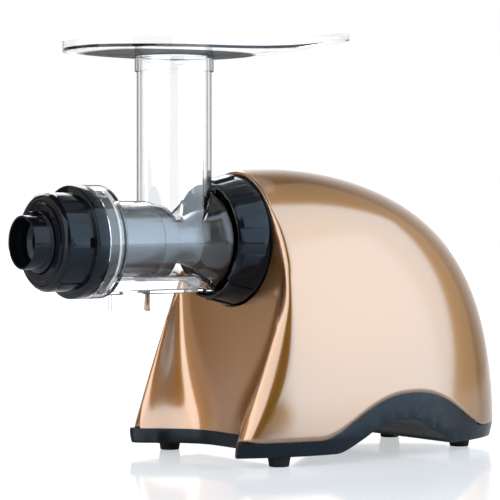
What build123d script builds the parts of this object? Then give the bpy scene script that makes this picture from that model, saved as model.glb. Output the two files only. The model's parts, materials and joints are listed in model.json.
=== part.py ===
from build123d import *
import math
import os

# Horizontal single-auger juicer.  Millimetres, +Z up, floor at Z = 0.  The drum and auger lie along X:
# pulp leaves towards -X, the drive stands towards +X, and Y = 0 is the plane of symmetry.
# A "station" is a distance along X from the feed tube's centre line, negative towards the nozzle.

# ---- overall -----------------------------------------------------------------------------------
nozzle_reach = 136.0          # nozzle mouth in front of the feed tube
rear_reach = 298.6            # flat rear face behind the feed tube
axis_z = 171.0                # drum and auger axis above the floor
feed_x = (nozzle_reach - rear_reach) / 2     # middle of the length stands on X = 0

# ---- fits --------------------------------------------------------------------------------------
running_gap = 0.05            # radial play of a turning fit
bearing_gap = 0.02            # radial play between a shaft and its bearing
loose_gap = 0.3               # play between pieces that pass each other
air_gap = 0.5                 # wider play: auger in its screen, rotor in its stator

# ---- housing -----------------------------------------------------------------------------------
wall = 3.0                    # moulded wall of shell and base
foot_height = 8.0             # underside of the base above the floor
widest_z = 20.0               # height at which the housing is widest
body_half_width = 96.0
body_top_z = 227.6            # highest point of the shell
crest_station = 93.0          # station of that widest and highest section
rear_overrun = 2.5            # the end curve would close this far behind the flat rear face
plan_power = 2.3              # fullness of the housing seen from above
plan_root = 2.9
side_power = 1.9              # fullness of the housing seen from the side
side_root = 3.5
toe_taper = 24.2              # each toe is this much nearer the middle than the widest section
toe_power = 2.38
hood_droop = 7.8              # fall of the top line from crest to feed tube station
skirt_inset = 4.0             # the lower edge of the base draws in by this much
toe_station = 8.9             # tip of the two front toes
front_low_station = 48.0      # middle of the hollow front face at the foot
front_lip_station = 57.0      # front edge of the hood
front_fade = 1.5              # how fast the hollow front fades out with height
ridge_inset = 2.2             # foremost line of each leg, in from the side of its toe
ridge_round_r = 10.0          # rounding from that line out to the side
hollow_bend = 1.9             # how closely the hollow keeps to the legs at the foot
hollow_bend_growth = 23.0     # and how much more closely higher up
seam_low_z = 19.5             # seam between shell and base at the toes and at the rear
seam_rise = 32.0              # rise of the seam at its crest
seam_crest_station = 165.0
seam_half_span = 95.0
arch_rise = 23.0              # rise of the arch that runs across under the base
arch_crest_station = 153.0
arch_half_span = 66.0
wave_power = 2.35             # shape of both waves
hood_opening_r = 52.5

# ---- feet and case screws ----------------------------------------------------------------------
foot_top_r = 9.0
foot_floor_r = 7.6
foot_recess_r = 4.5
foot_recess_depth = 4.5
front_foot_station = 46.0
front_foot_inset = 16.73      # in from the widest side at that station
rear_foot_setback = 44.6      # in front of the rear face
rear_foot_inset = 27.65
screw_r = 2.0
screw_head_r = 3.6
screw_head_height = 2.4
foot_boss_height = 12.0
case_post_r = 5.5
case_post_top_z = 58.0
case_boss_length = 40.0
front_post_station = 62.0
front_post_inset = 14.23
rear_post_setback = 72.6
rear_post_inset = 15.44
case_screw_grip = 12.0

# ---- drum --------------------------------------------------------------------------------------
chamber_r = 31.0
chamber_wall = 2.5
drum_flange_r = 43.0
drum_flange_wall = 2.8
drum_flange_depth = 15.0
cone_start = 8.0
cone_end = 28.0
spigot_r = 39.0
drum_end = 55.0
drum_end_wall = 3.0
drum_shaft_hole_r = 13.0
feed_tube_r = 29.0
feed_tube_wall = 2.6
feed_tube_top_z = 312.6
channel_setback = 13.0        # juice channel under the drum, from the drum's open end
channel_rear = 27.0
channel_half_width = 17.0
channel_bottom_z = 131.0
channel_top_z = 144.0
channel_wall = 2.4
channel_corner = 5.0
spout_station = -41.5
spout_r = 16.0
spout_wall = 2.2
spout_bottom_z = 125.0
drain_half_width = 9.0        # slot from the chamber down into the channel
lug_count = 3
lug_width_angle = 34.0
drum_lug_r = 42.5
drum_lug_front = 36.0
drum_lug_length = 5.0

# ---- drum socket and locking ring --------------------------------------------------------------
socket_r = 43.0
socket_plate_front = 56.2
socket_plate_thickness = 4.8
socket_plate_r = hood_opening_r - air_gap
socket_shaft_hole_r = 12.0
shoulder_front = 50.3
shoulder_length = 1.9
shoulder_r = 45.5
ring_front = 30.0
ring_back = 55.2
ring_front_r = 44.9
ring_back_r = 51.4
ring_lug_front = 31.5
ring_lug_inner_r = spigot_r + 0.4
ring_pad_count = 10
ring_pad_height = 1.0
ring_pad_angle = 12.0
ring_tab_angle = 20.0
ring_tab_height = 2.0
unlock_angle = 40.0           # travel of the locking ring
retainer_length = 2.4
socket_screw_circle_r = 47.5
socket_screw_grip = 9.0
socket_screw_angle = 15.0     # above and below the axis, on both sides
housing_post_r = 5.0

# ---- safety switch -----------------------------------------------------------------------------
plunger_r = 1.5
plunger_circle_r = 48.7
plunger_angle = 230.0         # round the axis from +Y towards +Z
plunger_travel = 2.0
plunger_front = 55.6
plunger_collar_r = 3.2
plunger_collar_front = 68.4
plunger_collar_length = 1.6
plunger_length = 17.0
ramp_steps = 8
spring_wire_r = 0.35
spring_turns = 5
safety_switch_size = (8.0, 20.0, 10.0)

# ---- screen, auger -----------------------------------------------------------------------------
screen_rear = -14.0
screen_wall = 3.3
screen_nose_wall = 4.0
screen_mouth_r = 15.0
screen_band_front = -28.0
screen_band_groove = 1.2
window_setback = 12.0         # juice window in the underside of the screen
window_rear = -33.0
window_half_angle = 38.0
mesh_thickness = 1.2
mesh_slot_count = 9
mesh_slot_width = 0.8
mesh_edge_angle = 4.0         # solid edge along the sides of the mesh
auger_tip_setback = 7.0       # tip inside the drum's open end
auger_tip_r = 8.0
auger_front_core_r = 12.0
auger_middle_core_r = 16.0
auger_feed_core_r = 18.0
auger_rear_core_r = 27.0
auger_disc_length = 3.0
flight_pitch = 24.0
flight_thickness = 3.4
flight_setback = 6.0          # first flight behind the screen's nose
flight_end = 34.0
drive_hex_flats = 12.0
drive_hex_front = 24.0
insert_r = 9.5

# ---- end cap and adjusting nozzle --------------------------------------------------------------
hub_standout = 1.5            # hub in front of the cap's face
cap_side_r = 37.2
cap_dome_depth = 5.0
cap_groove_r = 31.0
cap_groove_width = 1.6
cap_groove_depth = 2.0
cap_side_length = 24.0
cap_flange_length = 12.0
cap_web = 10.0
cap_cavity_r = 36.0
cap_skirt_length = 11.6       # inside the drum's open end
cap_pad_count = 6
cap_pad_angle = 11.4
cap_pad_height = 1.2
cap_lug_length = 5.0
cap_travel = 25.0             # bayonet travel of the end cap
nozzle_r = 20.2
nozzle_wall = 1.6
nozzle_hub_r = 23.0
nozzle_tube_length = 13.5
nozzle_throat_r = 15.0
nozzle_throat_setback = 4.5
nozzle_collar_r = 27.0
nozzle_collar_length = 2.5
nozzle_rear_length = 12.0     # inside the drum's open end
nozzle_rear_r = 17.5
nozzle_pointer_width = 5.0
seal_width = 1.8              # sealing ring in the cap's skirt
seal_depth = 1.4
seal_edge = 0.8

# ---- feed tray ---------------------------------------------------------------------------------
tray_front = -88.0
tray_rear = 154.0
tray_half_width = 70.0
tray_edge_z = 317.4           # underside of the tray at its edge, over the drum
tray_dish = 4.4               # how much deeper the middle of the floor is
tray_end_rise = 17.0          # rise of the tray's rear end
tray_rim_height = 7.2
tray_rim_fall = 3.0           # the rim is this much lower at the rear end
tray_thickness = 2.6
tray_squareness = 2.6
collar_r = 30.6
collar_bottom_z = 302.5

# ---- gear train --------------------------------------------------------------------------------
pressure_angle = math.radians(20.0)
addendum = 0.9                # in modules
dedendum = 1.2
tooth_thickness = 0.46        # of one pitch, the rest is backlash
low_module = 1.4              # output stage
high_module = 0.8             # motor stage
output_teeth = 60
idler_pinion_teeth = 14
idler_teeth = 63
motor_pinion_teeth = 14
gearbox_front = 82.0
gearbox_wall = 3.0
gearbox_depth = 42.0
gearbox_clearance = 2.0
cover_thickness = 5.0
output_gear_inset = 6.0       # gears behind the gearbox's front face
output_gear_width = 14.0
idler_pinion_inset = 5.0
idler_pinion_width = 16.0
idler_gear_inset = 25.0
idler_gear_width = 9.0
motor_pinion_inset = 24.0
motor_pinion_width = 11.0
output_shaft_r = 7.5
output_shaft_rear_r = 5.0
idler_shaft_r = 5.0
idler_bush_wall = 2.5
gear_hub_wall = 5.0
gear_web_recess = 3.0
front_bearing_r = 17.5
front_bearing_length = 11.0
rear_bearing_r = 11.0
gearbox_boss_r = 22.0
gearbox_upper_lug_angle = 100.0
gearbox_lower_lug_angle = 55.0
gearbox_lug_r = 5.0
bracket_thickness = 2.5
bracket_half_width = 24.0
bracket_foot_length = 14.0
bracket_top_z = 120.0
bracket_screw_drop = 12.0     # upper screws below the bracket's top

# ---- motor -------------------------------------------------------------------------------------
stator_r = 42.0
stator_bore_r = 24.5
stator_length = 42.0
stator_slots = 24
stator_slot_width = 2.6
stator_slot_depth = 9.0
bell_depth = 16.0
bell_wall = 3.0
bell_boss_r = 14.0
bell_window_count = 6
bell_window_r = 5.5
motor_shaft_r = 4.0
motor_bearing_r = 11.0
motor_bearing_length = 7.0
winding_inner_r = 27.0
winding_outer_r = 33.5
winding_length = 9.0
slot_lining = 0.3             # insulation between winding and core
motor_bolt_circle_r = 38.0
fan_r = 33.0
fan_hub_r = 9.0
fan_blades = 9
fan_blade_thickness = 1.4
fan_length = 10.0
fan_gap = 4.0
cradle_thickness = 6.0
cradle_half_width = 34.0
cradle_top_z = 132.0
cradle_pad_r = 7.0
cradle_screw_offset = 24.0
cradle_screw_grip = 5.0
cradle_foot_thickness = 3.0
cradle_foot_lip = 9.0         # foot of the cradle on each side of its plate
cradle_pad_top_z = 38.0

# ---- electrical parts --------------------------------------------------------------------------
capacitor_r = 14.0
capacitor_height = 48.0
capacitor_setback = 62.6      # in front of the rear face
capacitor_offset = 31.0
capacitor_clip_wall = 1.5
capacitor_clip_width = 10.0
capacitor_clip_z = 30.0
board_size = (34.0, 36.0, 1.6)
board_setback = 64.6
board_offset = -31.0
board_z = 30.0
standoff_r = 3.0
relay_size = (16.0, 14.0, 12.0)
terminal_size = (9.0, 30.0, 9.0)
terminal_count = 5
inlet_size = (26.0, 19.0)     # width and height of the power inlet's body
inlet_ledge = 3.0             # ledge of the power inlet behind the rear wall
ledge_thickness = 1.8
inlet_depth = 24.0
inlet_z = 38.0
inlet_well = (20.0, 13.5)
inlet_well_depth = 17.0
inlet_pin_size = (1.6, 4.0)
inlet_pin_length = 14.0
rocker_size = (13.0, 19.0)    # width and height of the rocker opening
rocker_ledge = 2.0            # ledge of the rocker frame behind the rear wall
rocker_frame_depth = 20.0
rocker_frame_wall = 1.5
rocker_z = 68.0
rocker_tilt = 9.0
rocker_play = 1.2
rocker_depth = 9.0
vent_count = 7
vent_width = 3.0
vent_length = 26.0
vent_pitch = 7.0
vent_setback = 66.6

# ---- worked out from the above -----------------------------------------------------------------
nozzle_hub_front = nozzle_tube_length - nozzle_reach
cap_face_station = nozzle_hub_front + hub_standout
cap_flange_front = cap_face_station + cap_side_length
drum_flange_station = cap_flange_front + cap_flange_length     # open front end of the drum
nozzle_throat_front = nozzle_hub_front + nozzle_throat_setback
cap_skirt_rear = drum_flange_station + cap_skirt_length
nozzle_rear = drum_flange_station + nozzle_rear_length
channel_front = drum_flange_station + channel_setback
screen_front = drum_flange_station + drum_flange_depth
window_front = screen_front + window_setback
auger_tip = drum_flange_station + auger_tip_setback
flight_start = screen_front + flight_setback
capacitor_station = rear_reach - capacitor_setback
board_station = rear_reach - board_setback
vent_station = rear_reach - vent_setback
chamber_bore_r = chamber_r - chamber_wall
screen_r = chamber_bore_r - air_gap
screen_bore_r = screen_r - screen_wall
flight_r = screen_bore_r - air_gap
spigot_bore_r = spigot_r - chamber_wall
auger_rear = drum_end - drum_end_wall - air_gap
socket_front = drum_lug_front + drum_lug_length + loose_gap
socket_plate_rear = socket_plate_front + socket_plate_thickness
ring_bore_r = socket_r + running_gap
ring_counterbore_r = shoulder_r + air_gap
ring_step = shoulder_front - loose_gap
retainer_front = shoulder_front + shoulder_length + loose_gap
cap_cavity_front = cap_face_station + cap_web
cap_flange_rear = drum_flange_station - loose_gap
cap_skirt_r = drum_flange_r - drum_flange_wall - loose_gap
low_centre_distance = low_module * (output_teeth + idler_pinion_teeth) / 2
high_centre_distance = high_module * (idler_teeth + motor_pinion_teeth) / 2
idler_z = axis_z - low_centre_distance
motor_z = idler_z + high_centre_distance
output_tip_r = low_module * (output_teeth / 2 + addendum)
idler_tip_r = high_module * (idler_teeth / 2 + addendum)
gearbox_upper_r = output_tip_r + gearbox_clearance
gearbox_lower_r = idler_tip_r + gearbox_clearance
output_gear_front = gearbox_front + output_gear_inset
idler_pinion_front = gearbox_front + idler_pinion_inset
idler_gear_front = gearbox_front + idler_gear_inset
motor_pinion_front = gearbox_front + motor_pinion_inset
gearbox_rear = gearbox_front + gearbox_depth
cover_rear = gearbox_rear + cover_thickness
bell_front = cover_rear
stator_front = bell_front + bell_depth
stator_rear = stator_front + stator_length
bell_rear = stator_rear + bell_depth
cradle_station = (stator_front + stator_rear) / 2
cradle_screw_station = cradle_station + (cradle_thickness + cradle_foot_lip) / 2
floor_z = foot_height + wall

# ---- end cap bayonet ---------------------------------------------------------------------------
cap_lug_height = 1.2          # the cap's lugs stand this far into the drum's flange
cap_lug_angle = 16.0
cap_lug_setback = 3.0
cap_bore_r = drum_flange_r - drum_flange_wall
cap_slot_play = 2.0           # free angle at each end of a bayonet slot


# ---- helpers -----------------------------------------------------------------------------------
def turned(profile, centre_z=axis_z):
    """Solid of revolution about an axis along X, from (station, radius) corners."""
    corners = [(feed_x + station, 0, centre_z + radius) for station, radius in profile]
    face = make_face(Polyline(*corners, close=True))
    return revolve(face, Axis((0, 0, centre_z), (1, 0, 0)))


def rod(start, end, radius, centre_z=axis_z, centre_y=0.0):
    """Cylinder along X between two stations."""
    plane = Plane(origin=(feed_x + start, centre_y, centre_z), x_dir=(0, 1, 0), z_dir=(1, 0, 0))
    return plane * Cylinder(radius, end - start, align=(Align.CENTER, Align.CENTER, Align.MIN))


def sleeve(start, end, inner_r, outer_r, centre_z=axis_z, centre_y=0.0):
    """Tube along X between two stations."""
    return rod(start, end, outer_r, centre_z, centre_y) - rod(start, end, inner_r, centre_z, centre_y)


def post(station, y, bottom, top, radius):
    """Upright cylinder."""
    place = Pos(feed_x + station, y, bottom)
    return place * Cylinder(radius, top - bottom, align=(Align.CENTER, Align.CENTER, Align.MIN))


def block(start, end, y_low, y_high, bottom, top):
    """Box between two stations, two widths and two heights."""
    size = Box(end - start, y_high - y_low, top - bottom, align=(Align.MIN, Align.MIN, Align.MIN))
    return Pos(feed_x + start, y_low, bottom) * size


def around(piece, angle, centre_z=axis_z):
    """The piece turned about an axis along X."""
    return piece.rotate(Axis((0, 0, centre_z), (1, 0, 0)), angle)


def sector(start, end, inner_r, outer_r, width_angle, centre_z=axis_z):
    """Part of a tube along X, centred on the +Y side."""
    corners = [(start, inner_r), (start, outer_r), (end, outer_r), (end, inner_r)]
    points = [(feed_x + station, 0, centre_z + radius) for station, radius in corners]
    axis = Axis((0, 0, centre_z), (1, 0, 0))
    part = revolve(make_face(Polyline(*points, close=True)), axis, width_angle)
    return part.rotate(axis, -90 - width_angle / 2)


def shift(piece, station, y, z):
    """The piece carried from the origin to a station, width and height."""
    return Pos(feed_x + station, y, z) * piece


def round_the_axis(angle, radius, centre_z=axis_z):
    """Y and Z of a point at an angle from +Y towards +Z."""
    turn = math.radians(angle)
    return radius * math.cos(turn), centre_z + radius * math.sin(turn)


def upright_screw(station, y, head_z, length):
    """Screw along Z with its head at the bottom for a positive length, else at the top."""
    way = 1 if length > 0 else -1
    neck = head_z + way * screw_head_height
    tip = head_z + length
    head = post(station, y, min(head_z, neck), max(head_z, neck), screw_head_r)
    return head + post(station, y, min(neck, tip), max(neck, tip), screw_r)


def lying_screw(head_station, y, z, length):
    """Screw along X with its head at the front for a positive length, else at the rear."""
    way = 1 if length > 0 else -1
    neck = head_station + way * screw_head_height
    tip = head_station + length
    head = rod(min(head_station, neck), max(head_station, neck), screw_head_r, z, y)
    return head + rod(min(neck, tip), max(neck, tip), screw_r, z, y)


def lying_bore(start, end, y, z, radius=screw_r):
    return rod(start, end, radius, z, y)


def group(pieces):
    return Compound(children=list(pieces))


# ---- housing form ------------------------------------------------------------------------------
def end_length(inset):
    return rear_reach + rear_overrun - crest_station - inset


def half_width_at(station, inset=0.0):
    """Half width of the housing at its widest height."""
    full = body_half_width - inset
    if station < crest_station:
        return full - toe_taper * ((crest_station - station) / crest_station) ** toe_power
    share = (station - crest_station) / end_length(inset)
    return full * (1 - share ** plan_power) ** (1 / plan_root)


def top_z_at(station, inset=0.0):
    """Height of the housing on its middle line."""
    full = body_top_z - inset - widest_z
    if station < crest_station:
        return widest_z + full - hood_droop * ((crest_station - station) / crest_station) ** 2
    share = (station - crest_station) / end_length(inset)
    return widest_z + full * (1 - share ** side_power) ** (1 / side_root)


def housing_section(station, inset):
    """Arched cross-section with a drawn-in skirt below."""
    width = half_width_at(station, inset)
    height = top_z_at(station, inset) - widest_z
    drop = widest_z - foot_height - inset
    arch = EllipticalCenterArc((0, 0), width, height, start_angle=0, arc_size=180)
    foot = width - skirt_inset
    skirt = Polyline((-width, 0), (-foot, -drop), (foot, -drop), (width, 0))
    plane = Plane(origin=(feed_x + station, 0, widest_z), x_dir=(0, 1, 0), z_dir=(1, 0, 0))
    return plane * make_face([arch, *skirt.edges()])


def housing_form(inset=0.0):
    """The housing's outer form, or the same form drawn in by a wall."""
    last = rear_reach - inset - crest_station
    steps = 9
    front = [crest_station * k / 4 for k in range(4)]
    limit = math.asin(last / end_length(inset))
    rear = [crest_station + end_length(inset) * math.sin(limit * k / steps) for k in range(steps + 1)]
    return loft([housing_section(station, inset) for station in front + rear])


def front_line(z, setback):
    """Line across the hollow front face at one height, from leg to leg."""
    rise = min(max((z - widest_z) / (axis_z - widest_z), 0.0), 1.0)
    draw_in = skirt_inset * max(widest_z - z, 0.0) / (widest_z - foot_height)
    middle = front_low_station + (front_lip_station - front_low_station) * rise + draw_in + setback
    hollow = max((front_low_station - toe_station) * (1 - rise) ** front_fade, 0.2)
    ridge = middle - hollow
    ridge_y = half_width_at(toe_station) - ridge_inset - draw_in
    bend = hollow_bend + hollow_bend_growth * rise ** 2
    half = []
    steps = 8
    for k in range(1, steps + 1):
        depth = hollow * math.sin(math.pi / 2 * k / steps) ** 2
        half.append((middle - depth, ridge_y * (k / steps) ** (1 / bend)))
    for share in (0.5, 1.0, 1.6):
        half.append((ridge + ridge_round_r * share ** 2 / 2, ridge_y + ridge_round_r * share))
    return [(x, -y) for x, y in reversed(half)] + [(middle, 0)] + half


def front_space(setback=0.0):
    """The space in front of the housing's hollow front face."""
    sections = []
    far = rear_reach
    levels = 7
    heights = [0.0] + [widest_z + (axis_z - widest_z) * k / levels for k in range(levels + 1)]
    for z in heights:
        points = front_line(z, setback)
        start = points[0]
        end = points[-1]
        sides = Polyline(end, (end[0], far), (-far, far), (-far, -far), (start[0], -far), start)
        sections.append(Pos(feed_x, 0, z) * make_face([Spline(*points), *sides.edges()]))
    above = block(-far, front_lip_station + setback, -far, far, axis_z, body_top_z + far)
    return loft(sections) + above


def wave(station, crest, half_span):
    """Smooth hump, 1 at the crest and 0 beyond its half span."""
    share = min(abs(station - crest) / half_span, 1.0)
    return (1 - share ** wave_power) ** 2


def seam_z_at(station):
    return seam_low_z + seam_rise * wave(station, seam_crest_station, seam_half_span)


def arch_z_at(station):
    return foot_height + arch_rise * wave(station, arch_crest_station, arch_half_span)


def space_below(height_at, crest, half_span, lift=0.0):
    """Everything below a wave that runs across the housing."""
    reach = body_half_width + 20.0
    first = crest - half_span
    last = crest + half_span
    steps = 12
    stations = [first + (last - first) * k / steps for k in range(steps + 1)]
    crown = Spline(*[(feed_x + s, -reach, height_at(s) + lift) for s in stations],
                   tangents=[(1, 0, 0), (1, 0, 0)])
    start = crown @ 0
    end = crown @ 1
    left = feed_x - 20.0
    right = feed_x + rear_reach + 20.0
    rest = Polyline(end, (right, -reach, end.Z), (right, -reach, -20.0), (left, -reach, -20.0),
                    (left, -reach, start.Z), start)
    face = make_face([crown, *rest.edges()])
    return extrude(face, amount=2 * reach, dir=(0, 1, 0))


def both_sides(station, inset):
    """Two places at one station, set in from the housing's widest sides."""
    y = half_width_at(station) - inset
    return [(station, -y), (station, y)]


def case_corners():
    rear = both_sides(rear_reach - rear_post_setback, rear_post_inset)
    return both_sides(front_post_station, front_post_inset) + rear


def foot_places():
    rear = both_sides(rear_reach - rear_foot_setback, rear_foot_inset)
    return both_sides(front_foot_station, front_foot_inset) + rear


outer_form = housing_form()
inner_form = housing_form(wall)
ahead = front_space()
ahead_inside = front_space(wall + 1.0)
below_seam = space_below(seam_z_at, seam_crest_station, seam_half_span)
below_arch = space_below(arch_z_at, arch_crest_station, arch_half_span)
below_floor = space_below(arch_z_at, arch_crest_station, arch_half_span, wall)
cavity = inner_form - ahead_inside
case_form = outer_form - ahead


def make_body_shell():
    shell = case_form - below_seam - cavity
    bosses = [post(s, y, case_post_top_z, case_post_top_z + case_boss_length, case_post_r)
              for s, y in case_corners()]
    for boss in bosses:
        shell += boss & cavity
    for s, y in case_corners():
        shell -= post(s, y, case_post_top_z, case_post_top_z + case_screw_grip, screw_r)
    shell -= rod(toe_station, front_lip_station + 4 * wall, hood_opening_r)
    shell -= block(rear_reach - 2 * wall, rear_reach + 1, -inlet_size[0] / 2, inlet_size[0] / 2,
                   inlet_z - inlet_size[1] / 2, inlet_z + inlet_size[1] / 2)
    half = rocker_size[0] / 2 + rocker_frame_wall
    tall = rocker_size[1] / 2 + rocker_frame_wall
    shell -= block(rear_reach - 2 * wall, rear_reach + 1, -half, half, rocker_z - tall, rocker_z + tall)
    return shell


def make_base():
    tub = (case_form & below_seam) - below_arch
    base = tub - (cavity - below_floor)
    for s, y in case_corners():
        base += post(s, y, foot_height + 1, case_post_top_z, case_post_r)
        base -= post(s, y, 0, case_post_top_z, screw_r)
        base -= post(s, y, 0, case_post_top_z - case_screw_grip, screw_head_r)
    for s, y in foot_places():
        base += post(s, y, foot_height, foot_height + foot_boss_height, screw_head_r + 1)
        base -= post(s, y, 0, foot_height + foot_boss_height - 2, screw_r)
    for side in (-1, 1):
        y = side * cradle_screw_offset
        base += post(cradle_screw_station, y, foot_height + arch_rise + 1, cradle_pad_top_z,
                     cradle_pad_r)
        base -= post(cradle_screw_station, y, cradle_pad_top_z - cradle_screw_grip, cradle_pad_top_z,
                     screw_r)
    for s, y in bracket_foot_places():
        base -= post(s, y, foot_height, floor_z, screw_r)
    for k in range(vent_count):
        s = vent_station + (k - (vent_count - 1) / 2) * vent_pitch
        base -= block(s - vent_width / 2, s + vent_width / 2, -vent_length / 2, vent_length / 2, 0,
                      floor_z + wall)
    return base


def make_foot(station, y):
    foot = Pos(feed_x + station, y, 0) * Cone(foot_floor_r, foot_top_r, foot_height,
                                               align=(Align.CENTER, Align.CENTER, Align.MIN))
    foot -= post(station, y, 0, foot_recess_depth, foot_recess_r)
    return foot - post(station, y, 0, foot_height, screw_r)


def make_foot_screws():
    length = foot_height + foot_boss_height - foot_recess_depth - 3
    return group(upright_screw(s, y, foot_recess_depth - screw_head_height, length + screw_head_height)
                 for s, y in foot_places())


def make_case_screws():
    shelf = case_post_top_z - case_screw_grip
    return group(upright_screw(s, y, shelf - screw_head_height,
                               screw_head_height + 2 * case_screw_grip - 1)
                 for s, y in case_corners())


# ---- drum --------------------------------------------------------------------------------------
def make_drum():
    f = drum_flange_station
    back = f + drum_flange_depth
    web = back - chamber_wall
    chamber = turned([
        (f, cap_bore_r), (f, drum_flange_r), (back, drum_flange_r), (back, chamber_r),
        (cone_start, chamber_r), (cone_end, spigot_r), (drum_end, spigot_r),
        (drum_end, drum_shaft_hole_r), (drum_end - drum_end_wall, drum_shaft_hole_r),
        (drum_end - drum_end_wall, spigot_bore_r), (cone_end, spigot_bore_r),
        (cone_start, chamber_bore_r), (web, chamber_bore_r), (web, cap_bore_r)])
    tube = post(0, 0, axis_z, feed_tube_top_z, feed_tube_r)
    hollow = turned([(f, 0), (f, chamber_bore_r), (cone_start, chamber_bore_r),
                     (cone_end, spigot_bore_r), (drum_end, spigot_bore_r), (drum_end, 0)])
    drum = chamber + (tube - hollow)
    drum -= post(0, 0, axis_z, feed_tube_top_z, feed_tube_r - feed_tube_wall)
    channel = block(channel_front, channel_rear, -channel_half_width, channel_half_width,
                    channel_bottom_z, channel_top_z)
    channel = fillet(channel.edges().filter_by(Axis.Y).group_by(Axis.Z)[0], channel_corner)
    channel += post(spout_station, 0, spout_bottom_z, channel_top_z, spout_r)
    inside = block(channel_front + channel_wall, channel_rear - channel_wall,
                   channel_wall - channel_half_width, channel_half_width - channel_wall,
                   channel_bottom_z + channel_wall, channel_top_z)
    inside = fillet(inside.edges().filter_by(Axis.Y).group_by(Axis.Z)[0], channel_corner - channel_wall)
    inside += post(spout_station, 0, spout_bottom_z, channel_top_z, spout_r - spout_wall)
    drum += (channel - inside) - rod(f, drum_end, chamber_r - chamber_wall / 2)
    drum -= block(window_front, window_rear, -drain_half_width, drain_half_width,
                  axis_z - chamber_r - 1, axis_z - chamber_bore_r / 2)
    for k in range(lug_count):
        lug = sector(drum_lug_front, drum_lug_front + drum_lug_length, spigot_r - 1, drum_lug_r,
                     lug_width_angle)
        drum += around(lug, 90 + 360 * k / lug_count)
    slot_front = f + cap_lug_setback
    slot_rear = slot_front + cap_lug_length + 2 * loose_gap
    slot_r = cap_bore_r + cap_lug_height + loose_gap
    for k in range(lug_count):
        slot = sector(slot_front, slot_rear, cap_bore_r - 1, slot_r,
                      cap_lug_angle + cap_travel + 2 * cap_slot_play)
        mouth = sector(f - 1, slot_rear, cap_bore_r - 1, slot_r, cap_lug_angle + 2 * cap_slot_play)
        drum -= around(slot, 90 + cap_travel / 2 + 360 * k / lug_count)
        drum -= around(mouth, 90 + cap_travel + 360 * k / lug_count)
    return drum


def make_drum_socket():
    plate = socket_plate_front
    socket = turned([
        (socket_front, spigot_r + running_gap), (socket_front, socket_r), (shoulder_front, socket_r),
        (shoulder_front, shoulder_r), (shoulder_front + shoulder_length, shoulder_r),
        (shoulder_front + shoulder_length, socket_r), (plate, socket_r), (plate, socket_plate_r),
        (socket_plate_rear, socket_plate_r), (socket_plate_rear, socket_shaft_hole_r),
        (plate, socket_shaft_hole_r), (plate, spigot_r + running_gap)])
    for y, z in socket_screw_places():
        socket -= lying_bore(plate, socket_plate_rear, y, z)
        socket -= lying_bore(plate, plate + screw_head_height, y, z, screw_head_r)
    y, z = round_the_axis(plunger_angle, plunger_circle_r)
    return socket - rod(plate, socket_plate_rear, plunger_r + running_gap, z, y)


def socket_screw_places():
    angles = [side + way * socket_screw_angle for side in (0, 180) for way in (-1, 1)]
    return [round_the_axis(angle, socket_screw_circle_r) for angle in angles]


def make_socket_screws():
    reach = socket_plate_thickness + socket_screw_grip - 1
    return group(lying_screw(socket_plate_front, y, z, reach) for y, z in socket_screw_places())


def make_locking_ring():
    ring = turned([
        (ring_front, ring_bore_r), (ring_front, ring_front_r), (ring_back, ring_back_r),
        (ring_back, ring_counterbore_r), (ring_step, ring_counterbore_r), (ring_step, ring_bore_r)])
    for k in range(lug_count):
        lug = sector(ring_lug_front, drum_lug_front - loose_gap, ring_lug_inner_r, ring_bore_r + 1,
                     lug_width_angle)
        ring += around(lug, 90 + 360 * k / lug_count)
    for k in range(ring_pad_count):
        wide = ring_tab_angle if k == 0 else ring_pad_angle
        high = ring_tab_height if k == 0 else ring_pad_height
        ring += around(ring_pad(wide, high), 90 + 360 * k / ring_pad_count)
    for k in range(ramp_steps):
        turn = unlock_angle / ramp_steps
        front = plunger_front - plunger_travel * ((k + 1.5) / ramp_steps) - loose_gap
        step = sector(min(front, ring_back - 0.1), ring_back, plunger_circle_r - plunger_r - loose_gap,
                      plunger_circle_r + plunger_r + loose_gap, turn + 4)
        ring -= around(step, plunger_angle - turn * (k + 0.5))
    return ring


def ring_pad(width_angle, height):
    """Raised grip pad on the ring's sloping side, on the +Y side."""
    start = ring_front + 3
    end = ring_back - 4
    slope = (ring_back_r - ring_front_r) / (ring_back - ring_front)
    low = ring_front_r + slope * (start - ring_front)
    high = ring_front_r + slope * (end - ring_front)
    corners = [(start, low - 1), (start, low + height), (end, high + height), (end, high - 1)]
    points = [(feed_x + station, 0, axis_z + radius) for station, radius in corners]
    axis = Axis((0, 0, axis_z), (1, 0, 0))
    pad = revolve(make_face(Polyline(*points, close=True)), axis, width_angle)
    return pad.rotate(axis, -90 - width_angle / 2)


def make_ring_retainer():
    return sleeve(retainer_front, retainer_front + retainer_length, socket_r + loose_gap,
                  ring_counterbore_r)


def make_drum_seal():
    return sleeve(drum_end, socket_plate_front, spigot_bore_r - 6, spigot_bore_r - 1)


# ---- safety switch -----------------------------------------------------------------------------
def make_safety_plunger():
    y, z = round_the_axis(plunger_angle, plunger_circle_r)
    pin = rod(plunger_front, plunger_front + plunger_length, plunger_r, z, y)
    return pin + rod(plunger_collar_front, plunger_collar_front + plunger_collar_length,
                     plunger_collar_r, z, y)


def make_plunger_spring():
    y, z = round_the_axis(plunger_angle, plunger_circle_r)
    start = socket_plate_rear + spring_wire_r
    length = plunger_collar_front - plunger_travel - loose_gap - 2 * spring_wire_r - socket_plate_rear
    radius = plunger_r + loose_gap + spring_wire_r
    coil = Helix(length / spring_turns, length, radius)
    profile = Plane(origin=coil @ 0, z_dir=coil % 0) * Circle(spring_wire_r)
    wire = sweep(profile, path=coil, is_frenet=True)
    return Pos(feed_x + start, y, z) * (Rot(0, 90, 0) * wire)


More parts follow.
